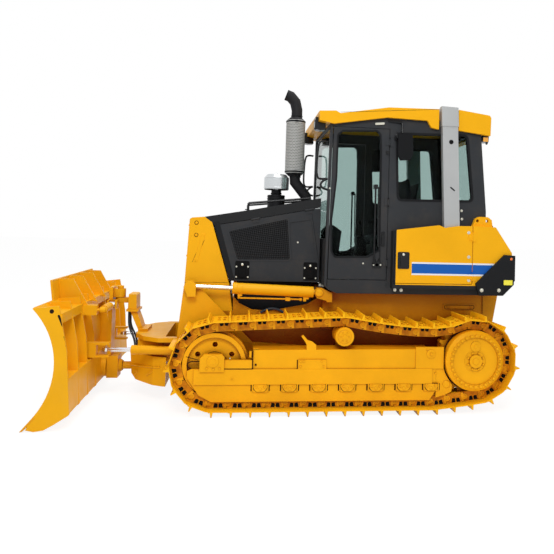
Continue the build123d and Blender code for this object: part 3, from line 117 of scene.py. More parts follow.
def add_floor():
    """Pale floor that keeps the shadow and otherwise fades into the white."""
    corners = [(x * floor_half, y * floor_half, 0) for x, y in ((-1, -1), (1, -1), (1, 1), (-1, 1))]
    mesh = bpy.data.meshes.new("floor")
    mesh.from_pydata(corners, [], [(0, 1, 2, 3)])
    floor = bpy.data.objects.new("floor", mesh)
    bpy.context.scene.collection.objects.link(floor)
    material = bpy.data.materials.new("pale_floor")
    material.use_nodes = True
    tree = material.node_tree
    tree.nodes.clear()
    diffuse = new_node(tree, "BsdfDiffuse", {"Color": grey(floor_grey)})
    glow = new_node(tree, "Emission", {"Strength": floor_glow})
    share = maths(tree, "MULTIPLY", seen_directly(tree), floor_glow_share)
    show_mixed(tree, share, diffuse, glow, new_node(tree, "OutputMaterial"))
    mesh.materials.append(material)


# ---- materials ----
def linear(red, green, blue):
    """Colour in the range 0 to 255 as scene linear values."""
    def channel(c):
        c /= 255
        return c / 12.92 if c <= 0.04045 else ((c + 0.055) / 1.055) ** 2.4
    return (channel(red), channel(green), channel(blue), 1)


def new_material(name, values):
    material = bpy.data.materials.new(name)
    material.use_nodes = True
    tree = material.node_tree
    shader = tree.nodes["Principled BSDF"]
    for socket, value in values.items():
        shader.inputs[socket].default_value = value
    return material, tree, shader


def noise(tree, scale, detail, roughness=0.55):
    node = new_node(tree, "TexNoise", {"Scale": scale, "Detail": detail, "Roughness": roughness})
    tree.links.new(new_node(tree, "TexCoord").outputs["Object"], node.inputs["Vector"])
    return node.outputs["Fac"]


def ramp(tree, value, stops):
    """Colours at the given positions of a value from 0 to 1."""
    node = new_node(tree, "ValToRGB")
    while len(node.color_ramp.elements) < len(stops):
        node.color_ramp.elements.new(0.5)
    for element, (place, colour) in zip(node.color_ramp.elements, stops):
        element.position = place
        element.color = colour
    tree.links.new(value, node.inputs[0])
    return node.outputs[0]


def grey(value):
    return (value, value, value, 1)


def mix_colour(tree, share, a, b):
    """Colour a where the share is 0, colour b where it is 1."""
    node = new_node(tree, "Mix")
    node.data_type = "RGBA"
    tree.links.new(share, node.inputs[0])
    for socket, colour in ((node.inputs[6], a), (node.inputs[7], b)):
        if isinstance(colour, tuple):
            socket.default_value = colour
        else:
            tree.links.new(colour, socket)
    return node.outputs[2]


def paint(name, colour, roughness=0.42, metallic=0.0, vary=0.06, dust=0.0, grain=0.15, grain_scale=180,
          coat=0.0, sheen=0.12, crease_shade=None, reach=0.12):
    """Painted or moulded surface: colour drifts, a little dust in patches, fine orange peel, and painted
    shade in a crease colour where other surfaces are near.
    """
    material, tree, shader = new_material(name, {
        "Metallic": metallic, "Specular IOR Level": sheen, "Coat Weight": coat,
        "Coat Roughness": 0.12 if coat else 0.03,
    })
    base = linear(*colour)
    darker = tuple(c * (1 - vary) for c in base[:3]) + (1,)
    lighter = tuple(min(1, c * (1 + vary)) for c in base[:3]) + (1,)
    drift = ramp(tree, noise(tree, 2.3, 6), [(0.3, darker), (0.7, lighter)])
    if dust:
        patches = ramp(tree, noise(tree, 5.1, 9, 0.65), [(0.48, grey(0)), (0.72, grey(dust))])
        drift = mix_colour(tree, patches, drift, linear(178, 150, 112))
    if crease_shade:
        # painted shade: ambient occlusion lays the crease colour into corners, creases and under nearby parts
        nearby = new_node(tree, "AmbientOcclusion", {"Distance": reach})
        nearby.samples = 8
        closed = ramp(tree, nearby.outputs["AO"], [(0.25, grey(1)), (0.48, grey(0.5)), (0.8, grey(0))])
        drift = mix_colour(tree, closed, drift, linear(*crease_shade))
    tree.links.new(drift, shader.inputs["Base Color"])
    smooth, rough = grey(max(0, roughness - 0.07)), grey(roughness + 0.1)
    gloss = ramp(tree, noise(tree, 9.0, 7), [(0.3, smooth), (0.75, rough)])
    tree.links.new(gloss, shader.inputs["Roughness"])
    bump = new_node(tree, "Bump", {"Strength": grain, "Distance": 0.0006})
    tree.links.new(noise(tree, grain_scale, 3), bump.inputs["Height"])
    tree.links.new(bump.outputs[0], shader.inputs["Normal"])
    return material


def maths(tree, way, *values):
    """Result of one sum, of numbers and sockets."""
    node = new_node(tree, "Math")
    node.operation = way
    for socket, value in zip(node.inputs, values):
        if isinstance(value, (int, float)):
            socket.default_value = value
        else:
            tree.links.new(value, socket)
    return node.outputs[0]


class Field:
    """A number the shader works out for each point; a comparison gives 1 or 0."""

    def __init__(self, tree, socket):
        self.tree, self.socket = tree, socket

    def apply(self, way, *others):
        values = [other.socket if isinstance(other, Field) else other for other in (self, *others)]
        return Field(self.tree, maths(self.tree, way, *values))

    def __add__(self, other):
        return self.apply("ADD", other)

    def __sub__(self, other):
        return self.apply("SUBTRACT", other)

    def __mul__(self, other):
        return self.apply("MULTIPLY", other)

    def __abs__(self):
        return self.apply("ABSOLUTE")

    def __gt__(self, limit):
        return self.apply("GREATER_THAN", limit)

    def __lt__(self, limit):
        return self.apply("LESS_THAN", limit)

    def within(self, low, high):
        return (self > low) * (self < high)


def split_fields(tree, vector):
    """The x, y and z of a shader's vector."""
    split = new_node(tree, "SeparateXYZ")
    tree.links.new(vector, split.inputs[0])
    return [Field(tree, socket) for socket in split.outputs]


def places(material):
    """The x, y and z of the point that is shaded, in metres."""
    tree = material.node_tree
    return split_fields(tree, new_node(tree, "TexCoord").outputs["Object"])


def recolour(material, mask, colour, rough=None):
    """Lays a colour over a material's own where the mask is 1."""
    tree = material.node_tree
    shader = tree.nodes["Principled BSDF"]
    old = shader.inputs["Base Color"].links[0].from_socket
    tree.links.new(mix_colour(tree, mask.socket, old, colour), shader.inputs["Base Color"])
    if rough is not None:
        gloss = shader.inputs["Roughness"].links[0].from_socket
        tree.links.new(mix_colour(tree, mask.socket, gloss, grey(rough)), shader.inputs["Roughness"])


stripe_x, stripe_border_z, stripe_z = (-2.18, -1.168), (1.294, 1.420), (1.310, 1.404)
stripe_face_y = 0.7492
sill_top_z, sill_front_x, sill_side_y = 1.196, -1.008, 0.6


def striped(name):
    """Body paint with a blue band between two white borders along the side, over a black sill."""
    material = paint(name, body_yellow, 0.38, vary=0.05)
    x, y, z = places(material)
    band = (abs(y) > stripe_face_y) * x.within(*stripe_x)
    recolour(material, band * z.within(*stripe_border_z), linear(228, 232, 238))
    recolour(material, band * z.within(*stripe_z), linear(28, 92, 176))
    sill = (z < sill_top_z).apply("MAXIMUM", x > sill_front_x)
    recolour(material, sill * (abs(y) > sill_side_y), linear(36, 37, 40))
    return material


def near_line(x, z, start, end, width):
    """1 within half the width of a line from start to end, as (x, z) in metres."""
    dx, dz = end[0] - start[0], end[1] - start[1]
    size = dx * dx + dz * dz
    x, z = x - start[0], z - start[1]
    reach = (x * (dx / size) + z * (dz / size)).apply("MAXIMUM", 0).apply("MINIMUM", 1)
    x, z = x - reach * dx, z - reach * dz
    return x * x + z * z < width * width / 4


blade_end_y = 1.3192
blade_openings = [          # start, end, width
    ((2.007, 0.983), (2.007, 0.980), 0.034), ((1.951, 0.945), (1.918, 0.868), 0.019),
    ((1.900, 0.775), (1.887, 0.735), 0.015), ((1.884, 0.706), (1.883, 0.700), 0.013),
]


def blade_paint(name):
    """Body paint with painted shade where the end plates have openings."""
    material = paint(name, body_yellow, 0.42, vary=0.06, dust=0.06)
    x, y, z = places(material)
    # painted shade: dark brown spots and slots stand for the openings' shadowed insides
    for opening in blade_openings:
        recolour(material, near_line(x, z, *opening) * (abs(y) > blade_end_y), linear(34, 18, 8))
    return material


shield_z, shield_holes_z = (2.292, 2.848), (2.325, 2.815)
shield_x, shield_y, shield_radius = -0.035, 0.16, 0.1
hole_pitch, hole_share = 0.016, 0.3


def perforated(name):
    """Black pipe with a bright perforated shield on its straight middle."""
    material = paint(name, (34, 34, 36), 0.55, vary=0.15)
    x, y, z = places(material)
    recolour(material, z.within(*shield_z), linear(178, 179, 176), 0.38)
    turn = (y - shield_y).apply("ARCTAN2", x - shield_x)
    row = z * (1 / hole_pitch)
    u = (turn * (shield_radius / hole_pitch) + row.apply("FLOOR") * 0.5).apply("FRACT") - 0.5
    v = row.apply("FRACT") - 0.5
    holes = (u * u + v * v < hole_share ** 2) * z.within(*shield_holes_z)
    recolour(material, holes, linear(44, 44, 44))
    return material


link_side = (0.7, 0.884)          # reach of the chain's sides from the middle, in metres


def track_paint(name, colour, vary, reach):
    """Rough paint with painted shade, a deep red-brown, in its creases."""
    return paint(name, colour, 0.46, vary=vary, grain=0.35, grain_scale=60, crease_shade=track_crease_shade, reach=reach)


def two_tone(name):
    """Shoe paint, with the chain's sides in a deeper, oilier shade."""
    material = track_paint(name, (250, 182, 18), vary=0.09, reach=0.045)
    tree = material.node_tree
    facing = split_fields(tree, new_node(tree, "NewGeometry").outputs["Normal"])[1]
    side = abs(places(material)[1]).within(*link_side) * (abs(facing) > 0.7)
    worn = ramp(tree, noise(tree, 14, 5), [(0.35, linear(178, 106, 10)), (0.65, linear(228, 150, 14))])
    recolour(material, side, worn)
    return material


def cab_side_paint(name):
    """Cab paint, with what stands off the wall, such as the mirrors, in gloss black."""
    material = paint(name, (50, 52, 55), 0.5, vary=0.06, dust=0.03)
    recolour(material, abs(places(material)[1]) > 0.662, linear(17, 18, 20), 0.32)
    return material


def precleaner_paint(name):
    """Bright metal over a dark lower ring."""
    material = paint(name, (206, 210, 212), 0.16, metallic=0.85, vary=0.03, grain=0.02)
    recolour(material, places(material)[2] < 2.112, linear(38, 38, 40), 0.5)
    return material


def tinted_glass():
    tint = linear(192, 208, 205)
    material, tree, shader = new_material("green_glass", {
        "Base Color": tint, "Transmission Weight": 1, "IOR": 1.1,
    })
    gloss = ramp(tree, noise(tree, 4, 5), [(0.4, grey(0.01)), (0.8, grey(0.06))])
    tree.links.new(gloss, shader.inputs["Roughness"])
    return material


def clear_lens(name, colour, roughness):
    material, tree, shader = new_material(name, {"Roughness": roughness, "Coat Weight": 0.8})
    lighter = [min(255, c + 14) for c in colour]
    tint = ramp(tree, noise(tree, 60, 3), [(0.3, linear(*colour)), (0.8, linear(*lighter))])
    tree.links.new(tint, shader.inputs["Base Color"])
    return material


body_yellow = (240, 174, 19)
# colours of the painted shade in creases
body_crease_shade, frame_crease_shade, track_crease_shade = (176, 84, 6), (150, 64, 4), (138, 62, 6)

yellow = paint("body_yellow", body_yellow, 0.38, vary=0.05)
track_yellow = two_tone("shoe_yellow")
# the main frame's long reach paints deep shade on it behind the tracks and under the cab
frame_yellow = paint("frame_yellow", body_yellow, 0.4, vary=0.06, crease_shade=frame_crease_shade, reach=0.55)
linkage_yellow = paint("linkage_yellow", body_yellow, 0.4, vary=0.06, crease_shade=body_crease_shade, reach=0.16)
striped_yellow = striped("striped_yellow")
blade_yellow = blade_paint("blade_yellow")
yellow_shade = paint("yellow_shade", (176, 110, 14), 0.6, vary=0.1)
orange_yellow = track_paint("track_yellow", (248, 178, 16), vary=0.09, reach=0.09)
undercarriage = track_paint("undercarriage_yellow", (247, 174, 16), vary=0.1, reach=0.09)
charcoal = paint("charcoal", (50, 52, 55), 0.5, vary=0.06, dust=0.03)
cab_side_black = cab_side_paint("cab_side_black")
trim_black = paint("trim_black", (26, 27, 29), 0.55, vary=0.1)
engine_black = paint("engine_black", (32, 32, 34), 0.6, vary=0.15)
silver = paint("silver", (176, 178, 178), 0.4, metallic=0.35, vary=0.05)
muffler = perforated("muffler")
bowl_chrome = paint("clear_bowl", (215, 218, 220), 0.15, metallic=0.9, vary=0.03, grain=0.02)
precleaner_metal = precleaner_paint("precleaner_metal")
zinc_plate = paint("zinc_plate", (206, 204, 190), 0.3, metallic=0.75, vary=0.08, grain=0.1)
gloss_black = paint("gloss_black", (20, 21, 23), 0.3, vary=0.1, coat=0.3)
deep_black = paint("deep_black", (9, 9, 10), 0.7, vary=0.2)
deep_shade = paint("deep_shade", (52, 26, 8), 0.8, vary=0.2)
rubber = paint("rubber", (24, 25, 27), 0.6, vary=0.15, grain=0.3, grain_scale=400)
hose_rubber = paint("hose_rubber", (58, 66, 74), 0.5, vary=0.15, grain=0.3, grain_scale=400)
reflector_yellow = clear_lens("reflector_yellow", (238, 226, 30), 0.25)
amber_plastic = clear_lens("amber_plastic", (226, 108, 22), 0.2)
golden_plastic = clear_lens("golden_plastic", (232, 160, 30), 0.25)
lamp_glass = clear_lens("lamp_glass", (226, 230, 232), 0.08)
rod_chrome = paint("rod_chrome", (225, 226, 228), 0.16, metallic=1.0, vary=0.02, grain=0.02)
edge_steel = paint("edge_steel", (228, 160, 26), 0.42, vary=0.12, dust=0.2)
fabric = paint("seat_fabric", (44, 46, 50), 0.85, vary=0.2, grain=0.9, grain_scale=900)
glass = tinted_glass()

sides = (("left", 1), ("right", -1))
node_materials = [          # nodes that stand alone, then nodes with a left and a right one
    (track_yellow, [], ["track"]),
    (undercarriage, ["track_frames", "idlers", "rollers", "sprockets"], []),
    (frame_yellow, ["main_frame"], []),
    (yellow, ["radiator_guard", "cab_roof", "tilt_barrel"], ["lift_barrel"]),
    (striped_yellow, ["rear_body"], ["rear_door"]),
    (linkage_yellow, ["c_frame", "blade_yoke"], ["angle_barrel"]),
    (blade_yellow, ["blade"], []),
    (edge_steel, ["cutting_edge"], []),
    (rod_chrome, ["tilt_rod"], ["lift_rod", "angle_rod"]),
    (engine_black, ["engine"], []),
    (trim_black, ["radiator_grille", "console", "corner_guards"], []),
    (gloss_black, ["hood_top", "lamps"], []),
    (charcoal, ["cab_floor", "cab_front", "cab_rear"], ["engine_door", "cab_door"]),
    (cab_side_black, ["cab_sides"], []),
    (silver, ["rops_arch"], []),
    (glass, ["cab_glass"], ["door_glass"]),
    (muffler, ["exhaust"], []),
    (precleaner_metal, ["precleaner"], []),
    (fabric, ["seat"], []),
]
sharp_edge = math.radians(38)


def add_bevel(piece, width, angle):
    """Softened edges, with the width in metres."""
    bevel = piece.modifiers.new("edges", "BEVEL")
    bevel.width, bevel.segments, bevel.use_clamp_overlap = width, 2, True
    bevel.limit_method, bevel.angle_limit = "ANGLE", angle


def dress_node(node, material):
    """Own material and softened edges on a node of the frame."""
    node.data.materials.clear()
    node.data.materials.append(material)
    if material is glass:
        return
    node.modifiers.new("weld", "WELD").merge_threshold = 0.00002
    add_bevel(node, 0.003, math.radians(35))
    node.modifiers.new("normals", "WEIGHTED_NORMAL").keep_sharp = True


for material, single, paired in node_materials:
    for name in single + [f"{name}_{side}" for name in paired for side, turn in sides]:
        dress_node(nodes[name], material)


# ---- building pieces, in millimetres ----
mm = 0.001
outward, inward, upward = (0, 1, 0), (0, -1, 0), (0, 0, 1)


def new_meshes(count):
    return [bmesh.new() for _ in range(count)]


def join_rings(bm, a, b):
    """Faces between two rings of corners; a ring of one corner closes the form."""
    count = max(len(a), len(b))
    for i in range(count):
        j = (i + 1) % count
        corners = (a[i % len(a)], b[i % len(b)], b[j % len(b)], a[j % len(a)])
        bm.faces.new(list(dict.fromkeys(corners)))


def add_lathe(bm, centre, axis, profile, steps=28):
    """Turned form: profile holds (radius, distance along the axis), closed where the radius is 0."""
    along = Vector(axis).normalized()
    guide = Vector((1, 0, 0)) if abs(along.x) < 0.9 else Vector(upward)
    across = along.cross(guide).normalized()
    other = along.cross(across)
    turns = [2 * math.pi * i / steps for i in range(steps)]
    rings = []
    for radius, reach in profile:
        base = Vector(centre) + along * reach
        spokes = [across * math.cos(a) + other * math.sin(a) for a in turns] if radius else [across]
        rings.append([bm.verts.new(base + spoke * radius) for spoke in spokes])
    for a, b in zip(rings, rings[1:]):
        join_rings(bm, a, b)


def disc(radius, height, start=0):
    """Profile of a plain disc."""
    return [(0, start), (radius, start), (radius, height), (0, height)]


def cap(radius, edge, top_radius, height, start=0):
    """Profile of a flat cap with a chamfered rim."""
    return [(0, start), (radius, start), (radius, edge), (top_radius, height), (0, height)]


def hub(radius, edge, top_radius, height, boss, boss_height):
    """Profile of a chamfered cap with a boss in its middle."""
    rim = cap(radius, edge, top_radius, height)[:-1]
    return rim + [(boss, height), (boss - 2, boss_height), (0, boss_height)]


def button(radius, top_radius, shoulder, height):
    """Profile of a screw's or lens's crowned head."""
    return [(0, 0), (radius, 0), (top_radius, shoulder), (0, height)]


def add_discs(bm, places, y, profile, steps=24):
    """Turned forms on a side face, at (x, z) places."""
    for x, z in places:
        add_lathe(bm, (x, y, z), outward, profile, steps)


def add_rod(bm, start, end, radius, steps=24):
    """Round bar with softened rims."""
    along = Vector(end) - Vector(start)
    length = along.length
    rim = min(2.0, radius * 0.2, length * 0.2)
    profile = [
        (0, 0), (radius - rim, 0), (radius, rim), (radius, length - rim), (radius - rim, length), (0, length),
    ]
    add_lathe(bm, start, along, profile, steps)


def add_band(bm, centre, axis, inner, outer, height, steps=40):
    """Clamp or collar round something."""
    rim = min(1.5, height * 0.2)
    profile = [
        (inner, 0), (outer - rim, 0), (outer, rim), (outer, height - rim), (outer - rim, height),
        (inner, height), (inner, 0),
    ]
    add_lathe(bm, centre, axis, profile, steps)


def add_bolt(bm, centre, across, height, axis=outward):
    """Washer and hexagon head standing on a face."""
    thickness, flat = height * 0.25, across * 0.577
    add_lathe(bm, centre, axis, disc(across * 0.78, thickness, -1), 20)
    head = cap(flat, height * 0.86, flat * 0.84, height, thickness - 0.5)
    add_lathe(bm, centre, axis, head, 6)


def add_bolts(bm, places, y, across, height):
    """Bolts on a side face, at (x, z) places."""
    for x, z in places:
        add_bolt(bm, (x, y, z), across, height)


def arc_points(centre, radius, start, end, count=60):
    """Points along an arc between two angles in degrees."""
    turns = [math.radians(start + (end - start) * i / count) for i in range(count + 1)]
    return [(centre[0] + radius * math.cos(a), centre[1] + radius * math.sin(a)) for a in turns]


def ring_places(centre, radius, count, start=0):
    """Evenly spread places on a ring."""
    return arc_points(centre, radius, start, start + 360, count)[:-1]


def add_slab(bm, points, y0, y1):
    """Closed outline of (x, z) points, from y0 to y1."""
    near = [bm.verts.new((x, y0, z)) for x, z in points]
    far = [bm.verts.new((x, y1, z)) for x, z in points]
    bm.faces.new(near)
    bm.faces.new(list(reversed(far)))
    join_rings(bm, near, far)


def add_block(bm, x0, x1, y0, y1, z0, z1):
    add_slab(bm, [(x0, z0), (x1, z0), (x1, z1), (x0, z1)], y0, y1)


def add_strip(bm, a, b, width, y0, y1):
    """Straight strip between two (x, z) points."""
    dx, dz = b[0] - a[0], b[1] - a[1]
    size = math.hypot(dx, dz)
    nx, nz = -dz / size * width / 2, dx / size * width / 2
    points = [(a[0] + nx, a[1] + nz), (b[0] + nx, b[1] + nz), (b[0] - nx, b[1] - nz), (a[0] - nx, a[1] - nz)]
    add_slab(bm, points, y0, y1)


def rounded(points, radius, steps=5):
    """Outline with its corners rounded."""
    result = []
    for i, corner in enumerate(points):
        here = Vector(corner)
        before, after = Vector(points[i - 1]) - here, Vector(points[(i + 1) % len(points)]) - here
        reach = min(radius, before.length * 0.45, after.length * 0.45)
        start, end = here + before.normalized() * reach, here + after.normalized() * reach
        for k in range(steps + 1):
            u = k / steps
            result.append(tuple(start * (1 - u) ** 2 + here * 2 * u * (1 - u) + end * u ** 2))
    return result


def plate(x0, x1, z0, z1, radius, grow=0):
    """Rounded rectangle; grow widens its upper edge on both sides."""
    return rounded([(x0, z0), (x1, z0), (x1 + grow, z1), (x0 - grow, z1)], radius)


def offset_outline(points, distance):
    """Outline moved outwards by a distance, for a loop that runs either way."""
    count = len(points)
    area = sum(points[i - 1][0] * points[i][1] - points[i][0] * points[i - 1][1] for i in range(count))
    side = distance if area > 0 else -distance
    result = []
    for i in range(count):
        a = (Vector(points[i]) - Vector(points[i - 1])).normalized()
        b = (Vector(points[(i + 1) % count]) - Vector(points[i])).normalized()
        normal = Vector((a.y + b.y, -a.x - b.x))
        scale = side * 2 / max(normal.length_squared, 0.5)
        result.append((points[i][0] + normal.x * scale, points[i][1] + normal.y * scale))
    return result


def add_frame(bm, outline, inside, outside, y0, y1):
    """Ring that follows a closed outline, from inside it to outside it."""
    loops = []
    for distance, y in ((-inside, y0), (-inside, y1), (outside, y1), (outside, y0)):
        loops.append([bm.verts.new((x, y, z)) for x, z in offset_outline(outline, distance)])
    for a, b in zip(loops, loops[1:] + loops[:1]):
        join_rings(bm, a, b)


def make_piece(name, bm, material, body="chassis", both=True, soften=0.0):
    """Object in metres from a mesh in millimetres; both adds the mirror image."""
    if both:
        copy = bmesh.ops.duplicate(bm, geom=bm.verts[:] + bm.edges[:] + bm.faces[:])
        for part in copy["geom"]:
            if isinstance(part, bmesh.types.BMVert):
                part.co.y = -part.co.y
    bmesh.ops.scale(bm, vec=(mm, mm, mm), verts=bm.verts)
    bmesh.ops.recalc_face_normals(bm, faces=bm.faces)
    for face in bm.faces:
        face.smooth = True
    for edge in bm.edges:
        if len(edge.link_faces) != 2 or edge.calc_face_angle(0) > sharp_edge:
            edge.smooth = False
    mesh = bpy.data.meshes.new(name)
    bm.to_mesh(mesh)
    bm.free()
    piece = place_piece(name, mesh, material, body)
    if soften:
        add_bevel(piece, soften * mm, sharp_edge)
    return piece


def place_piece(name, data, material, body):
    """Object of these data, with a material, that moves with a body."""
    data.materials.append(material)
    piece = bpy.data.objects.new(name, data)
    bpy.context.scene.collection.objects.link(piece)
    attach(piece, body)
    return piece


def make_pair(name, build, material, body, soften=0.0):
    """Left piece, and its mirror image on the right body."""
    for side, turn in sides:
        bm = bmesh.new()
        build(bm)
        for vert in bm.verts:
            vert.co.y *= turn
        make_piece(f"{name}_{side}", bm, material, f"{body}_{side}", False, soften)


def make_tube(name, points, radius, material, body="chassis", closed=False):
    """Bent bar or pipe along a smooth line with these control points."""
    data = bpy.data.curves.new(name, "CURVE")
    data.dimensions = "3D"
    data.bevel_depth, data.bevel_resolution, data.resolution_u = radius * mm, 5, 8
    data.use_fill_caps = True
    spline = data.splines.new("NURBS")
    spline.points.add(len(points) - 1)
    for point, place in zip(spline.points, points):
        point.co = tuple(c * mm for c in place) + (1,)
    spline.order_u = 3
    spline.use_endpoint_u = not closed
    spline.use_cyclic_u = closed
    return place_piece(name, data, material, body)


# ---- hoses ----
hose_radius = 11
frame_hose_y = 458
frame_hose_line = [(282, 872), (240, 902), (165, 918), (90, 902), (40, 868)]       # x and z
tower_hose_route = [(1606, 46, 826), (1606, 46, 745), (1600, 50, 655), (1530, 64, 520), (1530, 64, 439)]
hoses = {
    "frame_hose": ([(x, frame_hose_y, z) for x, z in frame_hose_line], "chassis", 0.262, "loose"),
    "tower_hose": (tower_hose_route, "push_frame", 0.402, "hanging"),
}


def add_hoses():
    for name, (route, body, length, lay) in hoses.items():
        for side, turn in sides:
            points = [(x, turn * y, z) for x, y, z in route]
            hose = make_tube(f"{name}_{side}_run", points, hose_radius, hose_rubber, body)
            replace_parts(hose, f"{name}_{side}")
            tuple(c * mm for c in points[0])


# ---- tracks ----
track_middle = 1575 / 2
shoe_width = 406
shoe_count = 41
pin_line_height = 102
rail_outer_face = track_middle + 84
rail_inner_face = track_middle - 84
rail_width = 32
idler_x, idler_pin_radius = 700, 347
sprocket_x, sprocket_z, sprocket_pin_radius = -1759, 497, 345
sprocket_leave_angle = 28
carrier_x, carrier_pin_height = -494, 856
roller_front_x, roller_spacing, roller_count = 277, 270, 7
last_roller_x = roller_front_x - roller_spacing * (roller_count - 1)
idler_z = pin_line_height + idler_pin_radius
idler, sprocket = (idler_x, idler_z), (sprocket_x, sprocket_z)


def tangent_angle(point, centre, radius, side):
    """Angle in degrees at which a line from a point touches a circle."""
    dx, dz = point[0] - centre[0], point[1] - centre[1]
    return math.degrees(math.atan2(dz, dx) + side * math.acos(radius / math.hypot(dx, dz)))


def hermite(p0, t0, p1, t1, count=40):
    """Points between two ends of a smooth line with these directions."""
    points = []
    for i in range(1, count):
        u = i / count
        a, b = 2 * u**3 - 3 * u**2 + 1, u**3 - 2 * u**2 + u
        c, d = -2 * u**3 + 3 * u**2, u**3 - u**2
        points.append(tuple(a * p0[k] + b * t0[k] + c * p1[k] + d * t1[k] for k in (0, 1)))
    return points


def pin_path():
    """Line of the track's pins, as the CAD model lays it."""
    last_roller, carrier = (last_roller_x, pin_line_height), (carrier_x, carrier_pin_height)
    idler_arc = arc_points(idler, idler_pin_radius, -90, tangent_angle(carrier, idler, idler_pin_radius, -1))
    rise = tangent_angle(last_roller, sprocket, sprocket_pin_radius, -1)
    sprocket_arc = arc_points(sprocket, sprocket_pin_radius, 90 - sprocket_leave_angle, 360 + rise)
    top = idler_arc[-1]
    reach = carrier[0] - sprocket_arc[0][0]
    slope = math.atan2(top[1] - carrier[1], top[0] - carrier[0]) / 2
    lift = math.radians(sprocket_leave_angle)
    start = (-reach * math.cos(slope), -abs(reach * math.sin(slope)) - reach * 0.16)
    end = (-reach * 0.55 * math.cos(lift), reach * 0.55 * math.sin(lift))
    sag = hermite(carrier, start, sprocket_arc[0], end)
    return [last_roller] + idler_arc + [carrier] + sag + sprocket_arc + [last_roller]


def link_frames():
    """For each link: its pin, the direction along it, the direction outwards and its length."""
    path = pin_path()
    lengths = [0.0]
    for a, b in zip(path, path[1:]):
        lengths.append(lengths[-1] + math.dist(a, b))
    pins, k = [], 0
    for i in range(shoe_count):
        target = lengths[-1] * i / shoe_count
        while lengths[k + 1] < target:
            k += 1
        u = (target - lengths[k]) / (lengths[k + 1] - lengths[k])
        pins.append(tuple(path[k][n] + (path[k + 1][n] - path[k][n]) * u for n in (0, 1)))
    frames = []
    for i, pin in enumerate(pins):
        after = pins[(i + 1) % shoe_count]
        size = math.dist(pin, after)
        along = ((after[0] - pin[0]) / size, (after[1] - pin[1]) / size)
        frames.append((pin, along, (along[1], -along[0]), size))
    return frames


def on_link(link, share, rise):
    """Place on a link, from a share of its length and a height over its pin line."""
    pin, along, out, size = link
    return tuple(pin[k] + along[k] * share * size + out[k] * rise for k in (0, 1))


# outlines on a link: share of its length, height over the pin line
window_spans = ((0.245, 0.475), (0.525, 0.755))
window_back_shade = ((0.30, 37), (0.70, 37), (0.66, 5), (0.34, 5))
window_post = ((0.485, 35), (0.515, 35), (0.53, 7), (0.47, 7))
overlap_ear = ((0.06, 46), (0.17, 46), (0.2, 10), (0.2, -44), (0.06, -44))
shoe_lip = ((0.905, 55), (0.905, 61), (0.985, 61), (0.985, 55))
shoe_bolt_shares, shoe_bolt_reaches = (0.24, 0.52), (-78, -48, 48, 78)


def add_tracks():
    """Windows, posts, overlaps and bosses of the links, bolts and lips of the shoes, with painted shade in
    and behind the windows and in the seams between links.
    """
    shade, steel, seams, bolts, lips = new_meshes(5)
    outer, inner = rail_outer_face, rail_inner_face
    for link in link_frames():
        # painted shade: near-black patches over and behind the link windows
        slabs = [(shade, ((a, 43), (b, 43), (b - 0.05, 3), (a + 0.05, 3)), outer - 1, outer + 0.6)
                 for a, b in window_spans]
        slabs += [
            (shade, window_back_shade, outer - rail_width + 1, outer - rail_width + 4),
            (shade, window_back_shade, inner + rail_width - 4, inner + rail_width - 1),
            (steel, window_post, outer - rail_width + 5, outer - 3),
            (steel, window_post, inner + 3, inner + rail_width - 5),
            (steel, overlap_ear, outer - 2, outer + 5),
            (steel, overlap_ear, inner - 5, inner + 2),
            (lips, shoe_lip, track_middle - shoe_width / 2 + 2, track_middle + shoe_width / 2 - 2),
        ]
        for bm, outline, y0, y1 in slabs:
            add_slab(bm, [on_link(link, share, rise) for share, rise in outline], y0, y1)
        # painted shade in the seam where one link overlaps the next
        add_strip(seams, on_link(link, 0.045, 46), on_link(link, 0.03, -45), 4, outer - 1, outer + 1)
        pin, out = link[0], link[2]
        ring = [(0, 0), (31, 0), (31, 4), (27, 7), (17, 7), (15, 4), (0, 4)]
        add_discs(steel, [pin], outer - 1, ring)
        add_lathe(steel, (pin[0], inner + 1, pin[1]), inward, cap(31, 4, 27, 7), 24)
        for share in shoe_bolt_shares:
            x, z = on_link(link, share, 57)
            for reach in shoe_bolt_reaches:
                add_bolt(bolts, (x, track_middle + reach, z), 19, 9, (out[0], 0, out[1]))
    make_piece("link_window_shade", shade, deep_black)
    make_piece("link_bosses", steel, undercarriage)
    make_piece("link_seam_shade", seams, deep_shade)
    make_piece("shoe_bolts", bolts, undercarriage)
    make_piece("shoe_lips", lips, orange_yellow)


# ---- wheels and track frames ----
frame_outer_y = 900
drive_face_y = 970
carrier_cap = (carrier_x, 717)
end_cap = (-1336, 556)
guard_end = [(-1400, 430), (-1400, 216), (-1560, 196)]
end_guard = [
    (-1392, 440), (-1462, 440), (-1470, 400), (-1490, 350), (-1552, 262), (-1548, 196), (-1480, 165),
    (-1392, 140),
]
idler_web_gap = [(812, 480), (905, 480), (943, 462), (943, 430), (905, 412), (812, 412)]
bearing_bolts = [(650, 428), (705, 420), (765, 428)]
slider_bolts = [(-88, 487), (-118, 487), (-285, 487), (-305, 440), (-88, 440)]


def add_drive(bm, dark):
    """Bolts, covers and guards of the final drive, with a ring of painted shade round its drum."""
    face = drive_face_y - 12
    add_bolts(bm, ring_places(sprocket, 241, 30, 6), drive_face_y, 24, 14)
    add_bolts(bm, ring_places(sprocket, 80, 8, 22.5), face, 17, 11)
    add_discs(bm, [(sprocket_x, sprocket_z + 140)], face, hub(50, 5, 45, 8, 20, 12), 40)
    add_band(bm, (sprocket_x, face, sprocket_z), outward, 100, 108, 3, 60)
    add_discs(bm, [sprocket], face + 18, cap(34, 4, 30, 7), 6)
    # painted shade: dark ring between the drive's disc and the chain
    add_band(dark, (sprocket_x, 846, sprocket_z), outward, 286, 297, 20, 72)
    add_slab(bm, arc_points(sprocket, 301, -76, -12, 14) + guard_end, 682, 694)
    add_slab(bm, arc_points(sprocket, 303, -40, 2, 10) + arc_points(sprocket, 322, 2, -40, 10), 884, 897)
    add_discs(bm, [(-1496, 268)], 880, cap(36, 22, 30, 27), 32)
    add_slab(bm, end_guard, 882, 898)


